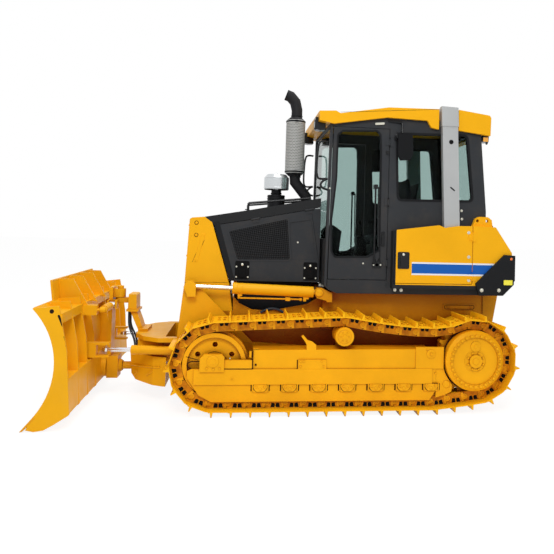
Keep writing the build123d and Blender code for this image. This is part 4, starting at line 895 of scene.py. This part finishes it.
def add_roller_caps(bm, dark):
    """Cap, bolts, ribs and plug on the track frame at each roller, with painted shade round the cap and
    beside its ribs.
    """
    y = frame_outer_y
    for i in range(roller_count):
        x = roller_front_x - roller_spacing * i
        add_bolts(bm, [(x - 38, 258), (x + 38, 258)], y + 20, 17, 9)
        half = [(62, 276), (62, 246), (36, 212)]
        outline = rounded([(x + dx, z) for dx, z in half] + [(x - dx, z) for dx, z in reversed(half)], 14)
        add_slab(bm, outline, y + 8, y + 20)
        # painted shade round the cap and in dark strips beside its ribs
        add_frame(dark, outline, -1, 5, y + 8, y + 10)
        for side in (-71, 71):
            add_strip(bm, (x + side, 278), (x + side, 216), 10, y - 1, y + 16)
            add_strip(dark, (x + side * 1.15, 276), (x + side * 1.15, 214), 11, y - 1, y + 1)
        add_discs(bm, [(x, 236)], y + 20, cap(15, 3, 12, 5, -1))


def add_wheels():
    """Bolts, covers and plugs of the undercarriage, with painted shade in its gaps."""
    bm, dark, zinc = new_meshes(3)
    add_drive(bm, dark)
    add_roller_caps(bm, dark)
    y = frame_outer_y
    # bearing of the front wheel, with the open web beside it, and painted shade round the web and in a ring
    # on the wheel
    add_bolts(bm, bearing_bolts, y + 30, 18, 10)
    add_discs(bm, [(712, 490)], y + 29, hub(54, 5, 48, 9, 28, 13), 40)
    add_rod(zinc, (560, y + 29, 520), (560, y + 36, 520), 6)
    add_frame(dark, rounded(idler_web_gap, 14), 5, 5, 868, 872)
    add_strip(dark, (957, 522), (845, 492), 6, 868, 872)
    add_band(dark, (idler_x, 880, idler_z), outward, 118, 123, 3, 64)
    # slider and recoil parts, with strips of painted shade along their gaps
    add_band(bm, (535, y + 12, 330), outward, 9, 18, 5, 24)
    add_rod(bm, (372, y - 10, 520), (372, y - 10, 578), 15)
    add_strip(dark, (622, 419), (352, 419), 8, y - 1, y + 14.5)
    add_strip(dark, (354, 419), (354, 583), 9, y - 10, y + 13)
    add_rod(dark, (330, y - 2, 455), (318, y + 5, 455), 9)
    add_strip(dark, (-58, 418), (-58, 500), 6, y - 1, y + 3)
    add_bolts(bm, slider_bolts, y + 12, 16, 9)
    for x0, x1 in ((-1380, -1462), (300, 352)):
        add_strip(bm, (x0, 598), (x1, 598), 6, y - 30, y - 2)
    # rear end of the frame and the carrier roller
    add_discs(bm, [end_cap], y + 7, cap(44, 6, 38, 10), 36)
    add_bolts(bm, [end_cap], y + 16, 24, 12)
    add_bolts(bm, [(-1292, 596)], y + 7, 14, 8)
    add_bolts(bm, [(-1385, 372)], y, 15, 8)
    add_discs(bm, [carrier_cap], track_middle + 134, hub(62, 4, 56, 7, 22, 11), 40)
    add_bolts(bm, ring_places(carrier_cap, 42, 6), track_middle + 140, 12, 7)
    make_piece("undercarriage_fittings", bm, undercarriage)
    make_piece("undercarriage_gap_shade", dark, deep_shade)
    make_piece("grease_points", zinc, zinc_plate)


# ---- nose and hood ----
body_half_width = 440
grille_low_z, grille_high_z, grille_half_width = 840, 1700, 365
nose_low_x, nose_low_z, nose_high_z = 1048, 744, 1780
nose_slope = (1001 - nose_low_x) / (nose_high_z - nose_low_z)
hood_window = [(627, 1673), (33, 1817), (-4, 1394), (532, 1382)]
hood_latch_places = [(475, 1378), (-203, 1378)]
hood_front_border = [(770, 1756), (716, 1768), (545, 1184), (600, 1184)]
rail_foot_axis = (-0.19, 0, 1)


def between(a, b, share):
    """Point at a share of the way between two (x, z) points."""
    return tuple(a[k] + (b[k] - a[k]) * share for k in (0, 1))


def add_nose():
    """Woven screen, core and bolts of the radiator guard, with painted shade in its seams, beside its raised
    bar and under two bolts.
    """
    screen, core, bolts, seam = new_meshes(4)
    low, high, half, y = grille_low_z, grille_high_z, grille_half_width, body_half_width
    add_block(core, 961, 963, -half, half, low, high)
    for i in range(30):
        wire = half * ((2 * i + 1) / 30 - 1)
        add_block(screen, 968, 971, wire - 1.5, wire + 1.5, low, high)
    for i in range(36):
        wire = low + (i + 0.5) * (high - low) / 36
        add_block(screen, 965, 968, -half, half, wire - 1.5, wire + 1.5)
    # painted shade: dark discs under two bolts, dark lines at the seams and beside the raised bar
    add_discs(seam, [(934, 1744), (933, 1624)], y - 1, disc(20, 2), 28)
    add_bolts(bolts, [(934, 1744), (933, 1624)], y, 19, 9)
    add_discs(bolts, [(862, 1626), (931, 1376)], y + 4, button(9, 7, 4, 5), 20)
    for a, b in (((1028, 1158), (612, 1163)), ((853, 1576), (935, 1360)), ((879, 1576), (961, 1360))):
        add_strip(seam, a, b, 3, y - 1, y + 0.6)
    for share in (0.06, 0.35, 0.65, 0.94):
        rise = (nose_high_z - nose_low_z) * share
        for side in (-half - 38, half + 38):
            place = (nose_low_x + nose_slope * rise - 0.5, side, nose_low_z + rise)
            add_bolt(bolts, place, 17, 8, (1, 0, -nose_slope))
    make_piece("grille_screen", screen, trim_black, both=False)
    make_piece("radiator_core", core, deep_black, both=False)
    make_piece("nose_bolts", bolts, yellow, both=False)
    make_piece("nose_seam_shade", seam, deep_shade)


def build_window_screen(bm):
    """Woven screen of the hood door's window."""
    y = body_half_width
    a, b, c, d = hood_window
    for i in range(1, 30):
        add_strip(bm, between(a, b, i / 30), between(d, c, i / 30), 3, y + 0.6, y + 1.8)
    for i in range(1, 20):
        add_strip(bm, between(a, d, i / 20), between(b, c, i / 20), 3, y + 1.4, y + 2.4)


def build_window_shade(bm):
    # painted shade: a near-black sheet behind the window's screen
    add_slab(bm, hood_window, body_half_width - 1, body_half_width + 0.4)


def build_window_frame(bm):
    add_frame(bm, rounded(hood_window, 26), 9, 7, body_half_width - 1, body_half_width + 3)


def build_hood_latches(bm):
    """Plate, paddle and lock hood of each latch."""
    y = body_half_width
    for x, top in hood_latch_places:
        base = plate(x - 66, x + 66, top - 176, top - 4, 14)
        add_slab(bm, base, y - 1, y + 4)
        add_frame(bm, base, 0, 4, y - 1, y + 6)
        add_slab(bm, plate(x - 27, x + 27, top - 158, top - 78, 9, 6), y + 3, y + 13)
        add_slab(bm, plate(x - 30, x + 30, top - 62, top - 18, 12, -6), y + 3, y + 10)


def build_hood_zinc(bm):
    """Bright lock barrels and screws on the hood doors."""
    y = body_half_width
    for x, top in hood_latch_places:
        corners = [(x + dx, z) for dx in (-57, 57) for z in (top - 56, top - 158)]
        add_discs(bm, [(x, top - 34)], y + 9, cap(12, 4, 9, 6))
        add_discs(bm, corners, y + 3, button(9, 8, 3, 4.5), 18)
    add_discs(bm, [(-70, 1576)], y - 9, button(9, 8, 3, 5), 18)


def build_hood_strip(bm):
    """Dark border along the slanting front edge and the bent rear edge of the hood door."""
    y = body_half_width
    add_slab(bm, hood_front_border, y - 1, y + 1.2)
    for a, b in (((-196, 1912), (-283, 1400)), ((-283, 1400), (-283, 1188))):
        add_strip(bm, a, b, 5, y - 1, y + 1.4)


def add_hood():
    make_pair("hood_window_shade", build_window_shade, deep_black, "engine_door")
    make_pair("hood_window_screen", build_window_screen, charcoal, "engine_door")
    make_pair("hood_window_frame", build_window_frame, charcoal, "engine_door", soften=0.8)
    make_pair("hood_latches", build_hood_latches, deep_black, "engine_door", soften=0.8)
    make_pair("hood_lock_barrels", build_hood_zinc, zinc_plate, "engine_door")
    make_pair("hood_border", build_hood_strip, trim_black, "engine_door")
    bolts, feet = new_meshes(2)
    add_bolts(bolts, [(525, 1151), (-306, 1152), (-338, 1150)], body_half_width - 0.5, 19, 10)
    make_piece("hood_sill_bolts", bolts, zinc_plate)
    for x, z in ((434, 1887), (-188, 2013)):
        add_lathe(feet, (x, 350, z - 4), rail_foot_axis, cap(34, 7, 30, 9), 32)
        for y in (328, 372):
            add_bolt(feet, (x, y, z + 4), 11, 6, rail_foot_axis)
    make_piece("grab_rail_feet", feet, trim_black)


# ---- intake and exhaust ----
exhaust, precleaner = (-35, 160), (147, 140)          # x and y
exhaust_neck_x = -43
mouth_centre, mouth_axis = (75, 160, 3117), (47, 0, 17)


def add_stacks():
    """Clamps on both pipes, painted shade closing the exhaust mouth, and the cap and vanes of the precleaner.
    """
    clamps, dark, bright, vanes = new_meshes(4)
    x, y = exhaust
    for z in (2300, 2826):
        add_band(clamps, (x, y, z), upward, 99, 103, 16)
        add_block(clamps, x - 14, x + 14, y + 100, y + 116, z, z + 16)
        add_rod(clamps, (x - 24, y + 108, z + 8), (x + 24, y + 108, z + 8), 4, 12)
    add_band(clamps, (exhaust_neck_x, y, 2888), upward, 56, 61, 14)
    add_band(clamps, (exhaust_neck_x, y, 2250), upward, 54, 60, 14)
    x, y = precleaner
    for z, inner, outer, height in ((2066, 51, 58, 14), (2012, 89, 93, 12), (2040, 89, 94, 8)):
        add_band(clamps, (x, y, z), upward, inner, outer, height)
    add_rod(clamps, (x - 20, y + 62, 2073), (x + 20, y + 62, 2073), 5, 12)
    along = Vector(mouth_axis).normalized()
    mouth = Vector(mouth_centre) - along * 6
    add_band(clamps, mouth - along * 12, along, 50, 57.5, 17.5)
    # painted shade: a near-black disc inside the exhaust mouth
    add_lathe(dark, mouth, along, disc(50, 0, 6.4), 40)
    knob = [(0, 0), (34, 0), (30, 6), (12, 8), (12, 16), (8, 20), (0, 21)]
    add_lathe(bright, (x, y, 2272), upward, knob, 32)
    for z, height in ((2126, 12), (2232, 8)):
        add_band(bright, (x, y, z), upward, 128, 131.5, height, 56)
    for inner, outer in zip(ring_places(precleaner, 56, 28), ring_places(precleaner, 124, 28)):
        add_rod(vanes, (*inner, 2112), (*outer, 2116), 3, 8)
    make_piece("stack_clamps", clamps, trim_black, both=False)
    make_piece("exhaust_mouth_shade", dark, deep_black, both=False)
    make_piece("precleaner_cap", bright, bowl_chrome, both=False)
    make_piece("precleaner_vanes", vanes, trim_black, both=False)


# ---- cab ----
cab_half_width = 650
side_window = [(-1039, 2031), (-1808, 2045), (-1738, 2703), (-1010, 2687)]
door_pane = [
    (-417, 2652), (-464, 2689), (-805, 2707), (-842, 2674), (-851, 2519), (-858, 1526), (-744, 1458),
    (-417, 1449), (-384, 1505), (-375, 1813), (-384, 1887), (-414, 2222),
]
# start and end as (x, y over the cab's side, z), and radius
door_rods = [
    ((-838, 4, 1380), (-838, 12, 1380), 17), ((-805, 24, 1384), (-803, 24, 2150), 9),
    ((-868, 7, 1378), (-855, 7, 1985), 5), ((-838, 7, 1392), (-803, 22, 1460), 5),
    ((-838, 7, 1392), (-862, 7, 1450), 5), ((-855, 7, 1700), (-838, 7, 1700), 4),
    ((-855, 7, 2000), (-838, 7, 2000), 4),
]
mirror_rods = [
    ((-912, 8, 2812), (-1056, 14, 2800), 9), ((-1056, 14, 2800), (-1060, 33, 2692), 8),
    ((-1007, 33, 2700), (-1007, 33, 2640), 9),
]
closer = [(-784, 2764), (-878, 2772), (-878, 2794), (-784, 2786)]
roof_lens = [(-1966, 2654), (-1912, 2656), (-1912, 2698), (-1966, 2700)]
round_lamps = (((-198, 540, 2756), (1, 0, 0), 44), ((-1973, 582, 2664), (-1, 0, -0.1), 24))
arch_hole = (-1552, 2624)
entry_rails = {
    "entry_rail": [
        (-318, 2575), (-250, 2590), (-222, 2540), (-212, 2376), (-212, 2240), (-240, 2200), (-322, 2214),
    ],
    "entry_rail_foot": [(-322, 2214), (-262, 2186), (-252, 2120), (-326, 2105)],
}


def add_rods(bm, rods):
    """Rods whose y counts from the cab's side."""
    for start, end, radius in rods:
        a, b = (Vector(place) + Vector((0, cab_half_width, 0)) for place in (start, end))
        add_rod(bm, a, b, radius)


def build_door_seal(bm):
    add_frame(bm, rounded(door_pane, 14, 3), 6, 11, cab_half_width - 24, cab_half_width + 4)


def build_door_bars(bm):
    """Pull bar and wiper in the rear part of the door's glass, with their foot."""
    y = cab_half_width
    add_slab(bm, plate(-884, -792, 1352, 1408, 16), y - 1, y + 12)
    add_rods(bm, door_rods)
    for width, low, high in ((13, 5, 11), (4, 1, 6)):
        add_strip(bm, (-846, 1560), (-834, 2150), width, y + low, y + high)
    add_slab(bm, plate(-826, -786, 2128, 2172, 10), y - 22, y + 30)


def build_door_screws(bm):
    add_discs(bm, [(-701, 1391)], cab_half_width - 0.5, button(9, 8, 3, 5), 18)
    add_discs(bm, [(-874, 1380), (-804, 1380)], cab_half_width + 11.5, button(9, 8, 3, 5), 18)


def build_door_handle(bm):
    """Plate, lever and lock barrel on the outside of the door."""
    y = cab_half_width
    add_slab(bm, plate(-912, -874, 1560, 1710, 12), y - 1, y + 5)
    add_slab(bm, plate(-906, -880, 1575, 1668, 8), y + 4, y + 16)
    add_discs(bm, [(-893, 1690)], y + 4, [(0, 0), (9, 0), (9, 6), (0, 7)], 20)


def add_cab():
    y = cab_half_width
    make_pair("door_glass_seal", build_door_seal, rubber, "cab_door")
    make_pair("door_bars", build_door_bars, gloss_black, "cab_door", soften=0.6)
    make_pair("door_screws", build_door_screws, zinc_plate, "cab_door")
    make_pair("door_handle", build_door_handle, gloss_black, "cab_door", soften=0.8)
    seal, trim, bright, amber, lens, dark = new_meshes(6)
    add_frame(seal, rounded(side_window, 45, 6), 7, 16, y - 30, y + 4)
    # mirror arm, lamp brackets and header fittings
    add_rods(trim, mirror_rods)
    add_discs(trim, [(-1007, 2667)], y + 12, cap(17, 8, 13, 11))
    add_slab(trim, plate(-935, -905, 2478, 2512, 8), y - 1, y + 16)
    add_slab(bright, rounded(closer, 10), y - 1, y + 14)
    add_discs(bright, [(-797, 2779), (-865, 2779)], y + 13, button(7, 6, 4, 4), 16)
    add_bolts(bright, [(-1698, 1942), (-1703, 1858)], y - 0.5, 17, 9)
    add_discs(bright, [(-349, 2119)], y - 0.5, button(9, 7, 4, 5), 18)
    add_bolts(bright, [(-1028, 1136), (-1092, 1134)], y, 21, 11)
    # arch: painted shade in the hole, the slanting slot and the seam along the roof
    add_discs(dark, [arch_hole], 714.5, disc(17, 1.2), 28)
    add_discs(trim, [arch_hole], 714, [(17, 0), (23, 0), (23, 3), (17, 3), (17, 0)], 28)
    add_strip(dark, (-1600, 2136), (-1553, 2172), 13, 714, 716)
    add_strip(dark, (-430, 2868), (-1425, 2950), 3, 689.5, 690.8)
    for place, axis, radius in round_lamps:
        add_band(trim, place, axis, radius, radius + 7, 8, 36)
        add_lathe(lens, place, axis, [(0, 1), (radius, 1), (radius * 0.8, 6), (radius * 0.4, 9), (0, 10)], 36)
        add_lathe(bright, place, axis, disc(radius, 0.6, -0.5), 36)
    add_slab(amber, rounded(roof_lens, 6), 643, 649)
    make_piece("side_window_seals", seal, rubber)
    make_piece("cab_trim", trim, gloss_black, soften=0.6)
    make_piece("cab_bright_parts", bright, zinc_plate)
    make_piece("amber_lenses", amber, golden_plastic, soften=0.8)
    make_piece("lamp_lenses", lens, lamp_glass)
    make_piece("cab_gap_shade", dark, deep_black)
    for side, turn in sides:
        for name, line in entry_rails.items():
            points = [(x, turn * (y - 14 + (20 if x > -300 else 0)), z) for x, z in line]
            make_tube(f"{name}_{side}", points, 11, gloss_black)


# ---- rear body ----
rear_body_y = 750
reflector = (-2196, -2103, 1212, 1262, 6)
filler, filler_axis = (-2060, 420), (-0.05, 0, 1)


def build_rear_latch(bm):
    y = rear_body_y
    base = plate(-1138, -1027, 1354, 1513, 12)
    add_slab(bm, base, y - 1, y + 3)
    add_frame(bm, base, 3, 3, y - 1, y + 6)
    add_slab(bm, plate(-1112, -1054, 1372, 1470, 12, 6), y + 2, y + 12)


def build_rear_lock(bm):
    add_discs(bm, [(-1082, 1491)], rear_body_y + 2, cap(12, 5, 9, 7))


def build_rear_bolts(bm):
    bolt = [(0, 0), (16, 0), (16, 2), (9, 3), (8, 8), (0, 9)]
    add_discs(bm, [(-1742, 1722), (-1747, 1482), (-1752, 1250)], rear_body_y - 0.5, bolt)


def add_rear():
    """Latches, markers, tank cap and seams of the rear body, with painted shade in the seams, round the
    frame's slot and on two frame bolts.
    """
    make_pair("rear_latch", build_rear_latch, gloss_black, "rear_door", soften=0.8)
    make_pair("rear_lock", build_rear_lock, zinc_plate, "rear_door")
    make_pair("rear_door_bolts", build_rear_bolts, zinc_plate, "rear_door")
    bolts, amber, mark, black, seams, dark = new_meshes(6)
    y = rear_body_y + 30
    add_bolts(bolts, [(-1876, 1157), (-2055, 1159)], y, 24, 13)
    add_lathe(bolts, (-1935, 591, 1929), upward, button(20, 18, 8, 10), 24)
    add_discs(amber, [(-2180, 1472)], y, button(14, 12, 4, 6))
    add_slab(mark, plate(*reflector), y - 0.5, y + 3)
    add_frame(black, plate(*reflector), 0, 5, y - 0.5, y + 5)
    add_block(black, -1965, -1905, 560, 622, 1789, 1930)
    add_lathe(black, (*filler, 1770), filler_axis, [(0, 0), (62, 0), (62, 30), (56, 38), (0, 40)], 40)
    for place in ring_places(filler, 62, 12):
        add_rod(black, (*place, 1776), (*place, 1800), 4, 8)
    # painted shade: seams and two frame bolts in a shaded copy of the body yellow, a dark strip and a dark
    # rim round the frame's slot
    add_strip(seams, (-1788, 1786), (-1788, 1214), 4, rear_body_y - 3, rear_body_y + 0.4)
    add_bolts(seams, [(-1625, 956), (-1870, 956)], 508, 20, 10)
    for seam_y in (-300, 0, 300):
        add_strip(seams, (-2203, 1250), (-2203, 1500), 3, seam_y - 2, seam_y + 2)
    add_strip(dark, (-1992, 1092), (-1996, 890), 4, 506, 508.5)
    add_frame(dark, plate(-1906, -1590, 935, 976, 20), 3, 3, 507, 509.5)
    make_piece("rear_bolts", bolts, zinc_plate)
    make_piece("rear_markers", amber, amber_plastic)
    make_piece("rear_reflectors", mark, reflector_yellow)
    make_piece("tank_fittings", black, gloss_black, both=False, soften=0.8)
    make_piece("frame_slot_shade", dark, deep_shade)
    make_piece("tank_seam", seams, yellow_shade)


# ---- seat and controls ----
pad_cells, pad_layers = 22, 6


def add_pad(name, centre, size, lean, channels):
    """Crowned cushion with sewn channels across it and a piped seam round its side."""
    place = Matrix.Translation(Vector(centre)) @ Matrix.Rotation(math.radians(lean), 4, "Y")
    cells = (pad_cells, pad_cells, pad_layers)

    def skin(*key):
        u, v, w = (2 * step / count - 1 for step, count in zip(key, cells))
        bulge = (1 - u * u) * (1 - v * v)
        edge = 1 - 0.07 * w ** 4
        x = u * size[0] / 2 * (1 - 0.05 * (1 - v * v)) * edge
        y = v * size[1] / 2 * (1 - 0.04 * (1 - u * u)) * edge
        z = w * size[2] / 2 * (0.58 + 0.42 * bulge ** 0.4)
        sewn = sum(math.exp(-((u - c) / 0.05) ** 2) for c in channels) * (1 - v ** 8)
        z -= 9 * sewn if w > 0.9 else 0
        return place @ Vector((x, y, z))

    bm = bmesh.new()
    grid = {}
    for axis in range(3):
        first, second = (k for k in range(3) if k != axis)
        for end in (0, cells[axis]):
            for a in range(cells[first]):
                for b in range(cells[second]):
                    face = []
                    for da, db in ((0, 0), (1, 0), (1, 1), (0, 1)):
                        key = [end] * 3
                        key[first], key[second] = a + da, b + db
                        key = tuple(key)
                        if key not in grid:
                            grid[key] = bm.verts.new(skin(*key))
                        face.append(grid[key])
                    bm.faces.new(face)
    pad = make_piece(name, bm, fabric, both=False)
    pad.modifiers.new("round", "SUBSURF").levels = 1
    steps = range(0, pad_cells, 2)
    rim = [(i, 0) for i in steps] + [(pad_cells, j) for j in steps]
    rim += [(pad_cells - i, pad_cells) for i in steps] + [(0, pad_cells - j) for j in steps]
    piping = [tuple(skin(i, j, pad_layers // 2)) for i, j in rim]
    make_tube(name + "_piping", piping, 3.5, trim_black, closed=True)


def add_seat():
    """Bellows, frame, cushions and armrests."""
    base = bmesh.new()
    for i in range(7):
        z = 1165 + i * 26
        grow = 12 if i % 2 else 0
        add_slab(base, plate(-1275 + grow, -935 - grow, z, z + 26, 8), -175 + grow, 175 - grow)
    add_block(base, -1300, -900, -190, 190, 1345, 1395)
    add_slab(base, plate(-1290, -910, 1395, 1560, 30, 20), -200, 200)
    add_slab(base, rounded([(-1288, 1560), (-1262, 1560), (-1352, 2230), (-1372, 2230)], 8), -205, 205)
    for side, turn in sides:
        low, high = sorted((turn * 255, turn * 285))
        add_slab(base, plate(-1285, -1235, 1640, 1800, 10), low, high)
        add_rod(base, (-1262, turn * 235, 1660), (-1262, turn * 292, 1660), 26)
    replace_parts(make_piece("seat_frame", base, trim_black, both=False, soften=2), "seat")
    add_pad("seat_cushion", (-1100, 0, 1622), (450, 490, 118), 0, (-0.45, 0.05, 0.5))
    add_pad("seat_back", (-1283, 0, 1985), (590, 470, 84), -82, (-0.5, -0.1, 0.3, 0.65))
    for side, turn in sides:
        add_pad(f"armrest_{side}", (-1100, turn * 300, 1815), (338, 58, 48), 0, ())


lever_knob = [(0, 0), (9, 0), (12, 14), (19, 30), (21, 46), (17, 60), (9, 68), (0, 70)]
gauge_axis = (-0.55, 0, 0.83)


def add_controls():
    """Lever knobs and boots on both side consoles, buttons and gauges."""
    knobs, gauges, boots = new_meshes(3)
    for y in (-450, 450):
        add_lathe(knobs, (-871, y, 1772), (0.15, 0, 1), lever_knob, 24)
        for k in range(4):
            add_band(boots, (-900, y, 1638 + k * 9), upward, 14, 40 - 6 * k, 8, 28)
        for k in range(3):
            add_lathe(knobs, (-960 - 55 * k, y, 1639), upward, button(13, 11, 10, 11), 20)
        add_block(boots, -1150, -820, y - 72, y + 72, 1600, 1612)
    for y in (-150, -50, 50, 150):
        add_band(gauges, (-497, y, 1731), gauge_axis, 34, 40, 6, 32)
        add_lathe(gauges, (-497, y, 1731), gauge_axis, disc(34, 2), 32)
    make_piece("control_knobs", knobs, gloss_black, both=False)
    make_piece("gauge_rings", gauges, charcoal, both=False)
    make_piece("lever_boots", boots, rubber, both=False)


# ---- blade and its linkage ----
lift_y = 555
lift_rear, lift_eye = (-280, lift_y, 1090), (963, lift_y, 1134)
angle_rear, angle_eye = (960, 530, 511), (1740, 466, 511)
lift_pin, arm_pivot = (-280, 1090), (-430, 450)
casting_ribs = [          # runs of points on the casting's slanting side
    [(1540, 192, 308), (1450, 300, 320), (1300, 450, 336), (1228, 477, 342)],
    [(1500, 240, 204), (1466, 281, 262)],
    [(1364, 386, 244), (1300, 450, 300)],
]


def unit(a, b):
    """Direction from one place to another."""
    return (Vector(b) - Vector(a)).normalized()


def add_gland(bm, barrel_start, rod_eye, end_distance, radius, rod_radius):
    """Gland nut, rings and weld beads of a cylinder's barrel."""
    start, along = Vector(barrel_start), unit(barrel_start, rod_eye)
    rim = radius + 2.5
    profile = [(rod_radius + 3, 1.5), (radius * 0.82, 1.5), (radius * 0.86, -2), (rim, -6), (rim, -44)]
    profile += [(radius - 1, -48)]
    add_lathe(bm, start + along * end_distance, along, profile, 40)
    for distance in (70, end_distance - 96):
        add_band(bm, start + along * distance, along, radius - 1, radius + 2, 8)


def build_lift_barrel(bm):
    add_gland(bm, lift_rear, lift_eye, 843, 53.5, 22)
    for distance in (120, 770):
        place = Vector(lift_rear) + unit(lift_rear, lift_eye) * distance
        add_block(bm, place.x - 22, place.x + 22, lift_y - 15, lift_y + 15, place.z - 72, place.z - 46)


def build_lift_line(bm):
    """Steel line under the barrel with its blocks and nuts."""
    y = lift_y
    add_rod(bm, (496, y, 1052), (496, y, 1024), 13)
    add_rod(bm, (510, y, 1026), (14, y, 1021), 8)
    add_block(bm, 0, 46, y - 17, y + 17, 1004, 1038)
    add_rod(bm, (14, y, 1021), (-118, y, 1018), 8)
    add_lathe(bm, (-92, y, 1018), (-1, 0, 0), disc(15, 22), 6)
    add_block(bm, -156, -128, y - 17, y + 17, 1002, 1050)


def build_angle_barrel(bm):
    add_gland(bm, angle_rear, angle_eye, 541, 42, 20)


def add_linkage():
    make_pair("lift_gland", build_lift_barrel, yellow, "lift_barrel", soften=0.8)
    make_pair("lift_line", build_lift_line, yellow, "lift_barrel", soften=0.6)
    make_pair("angle_gland", build_angle_barrel, yellow, "angle_barrel", soften=0.8)
    pins, bolts, ribs, seal = new_meshes(4)
    add_discs(pins, [lift_pin], 608, cap(36, 5, 30, 8), 32)
    add_bolts(pins, ring_places(lift_pin, 24, 3, 40), 615, 11, 7)
    add_bolts(pins, [(-325, 1054)], 503, 22, 12)
    # push frame: pivot cover, flange bolts, casting ribs and ball seal
    add_bolts(bolts, ring_places(arm_pivot, 68, 6, 30), 506, 17, 9)
    for x in (1420, 1478):
        for y in (-46, 46):
            add_bolt(bolts, (x, y, 631), 24, 14, upward)
    for x in (1150, 1230, 1310, 1390, 1470):
        add_slab(bolts, [(x - 5, 438), (x + 5, 438), (x + 3, 452), (x - 3, 452)], -60, 60)
    for y in (-24, 24):
        add_bolt(bolts, (1606, y, 940), 18, 10, (1, 0, 0))
    for run in casting_ribs:
        for a, b in zip(run, run[1:]):
            add_rod(ribs, a, b, 10, 12)
    add_band(seal, (1653, 0, 261), (1, 0, 0), 40, 50, 9)
    make_piece("lift_pin_plates", pins, yellow)
    make_piece("casting_ribs", ribs, linkage_yellow, "push_frame", soften=1)
    make_piece("push_frame_bolts", bolts, yellow, "push_frame", both=False)
    make_piece("ball_seal", seal, rubber, "push_frame", both=False)


edge_upper, edge_lower = (2122, 122), (2222, 4)          # the cutting edge's face, x and z


def add_blade():
    """Bolt heads on the cutting edge and weld beads."""
    bolts, welds = new_meshes(2)
    head = [(0, 0), (13, 0), (12, 3.2), (5, 3.2), (0, 2.2)]
    for share in (0.3, 0.7):
        x, z = between(edge_upper, edge_lower, share)
        for i in range(11):
            add_lathe(bolts, (x - 1.5, -1250 + 250 * i, z - 1.5), (118, 0, 100), head, 24)
    for y in (-780, 780):
        add_strip(welds, (2178, 1180), (2155, 1003), 6, y - 4, y + 4)
    make_piece("edge_bolts", bolts, edge_steel, "blade", both=False)
    make_piece("blade_welds", welds, yellow, "blade", both=False)


# ---- everything in place ----
add_camera()
add_hoses()
add_tracks()
add_wheels()
add_nose()
add_hood()
add_stacks()
add_cab()
add_rear()
add_seat()
add_controls()
add_linkage()
add_blade()

# ---- studio ----
add_world(0.5)
add_lamp("key", (1.2, 7.2, 6.8), (0, 0, 1.0), 3.0, 318)
add_lamp("top", (-1.0, 1.0, 8.5), (0, 0, 1.0), 5.0, 262)
add_floor()
bpy.context.scene.view_settings.view_transform = "Standard"
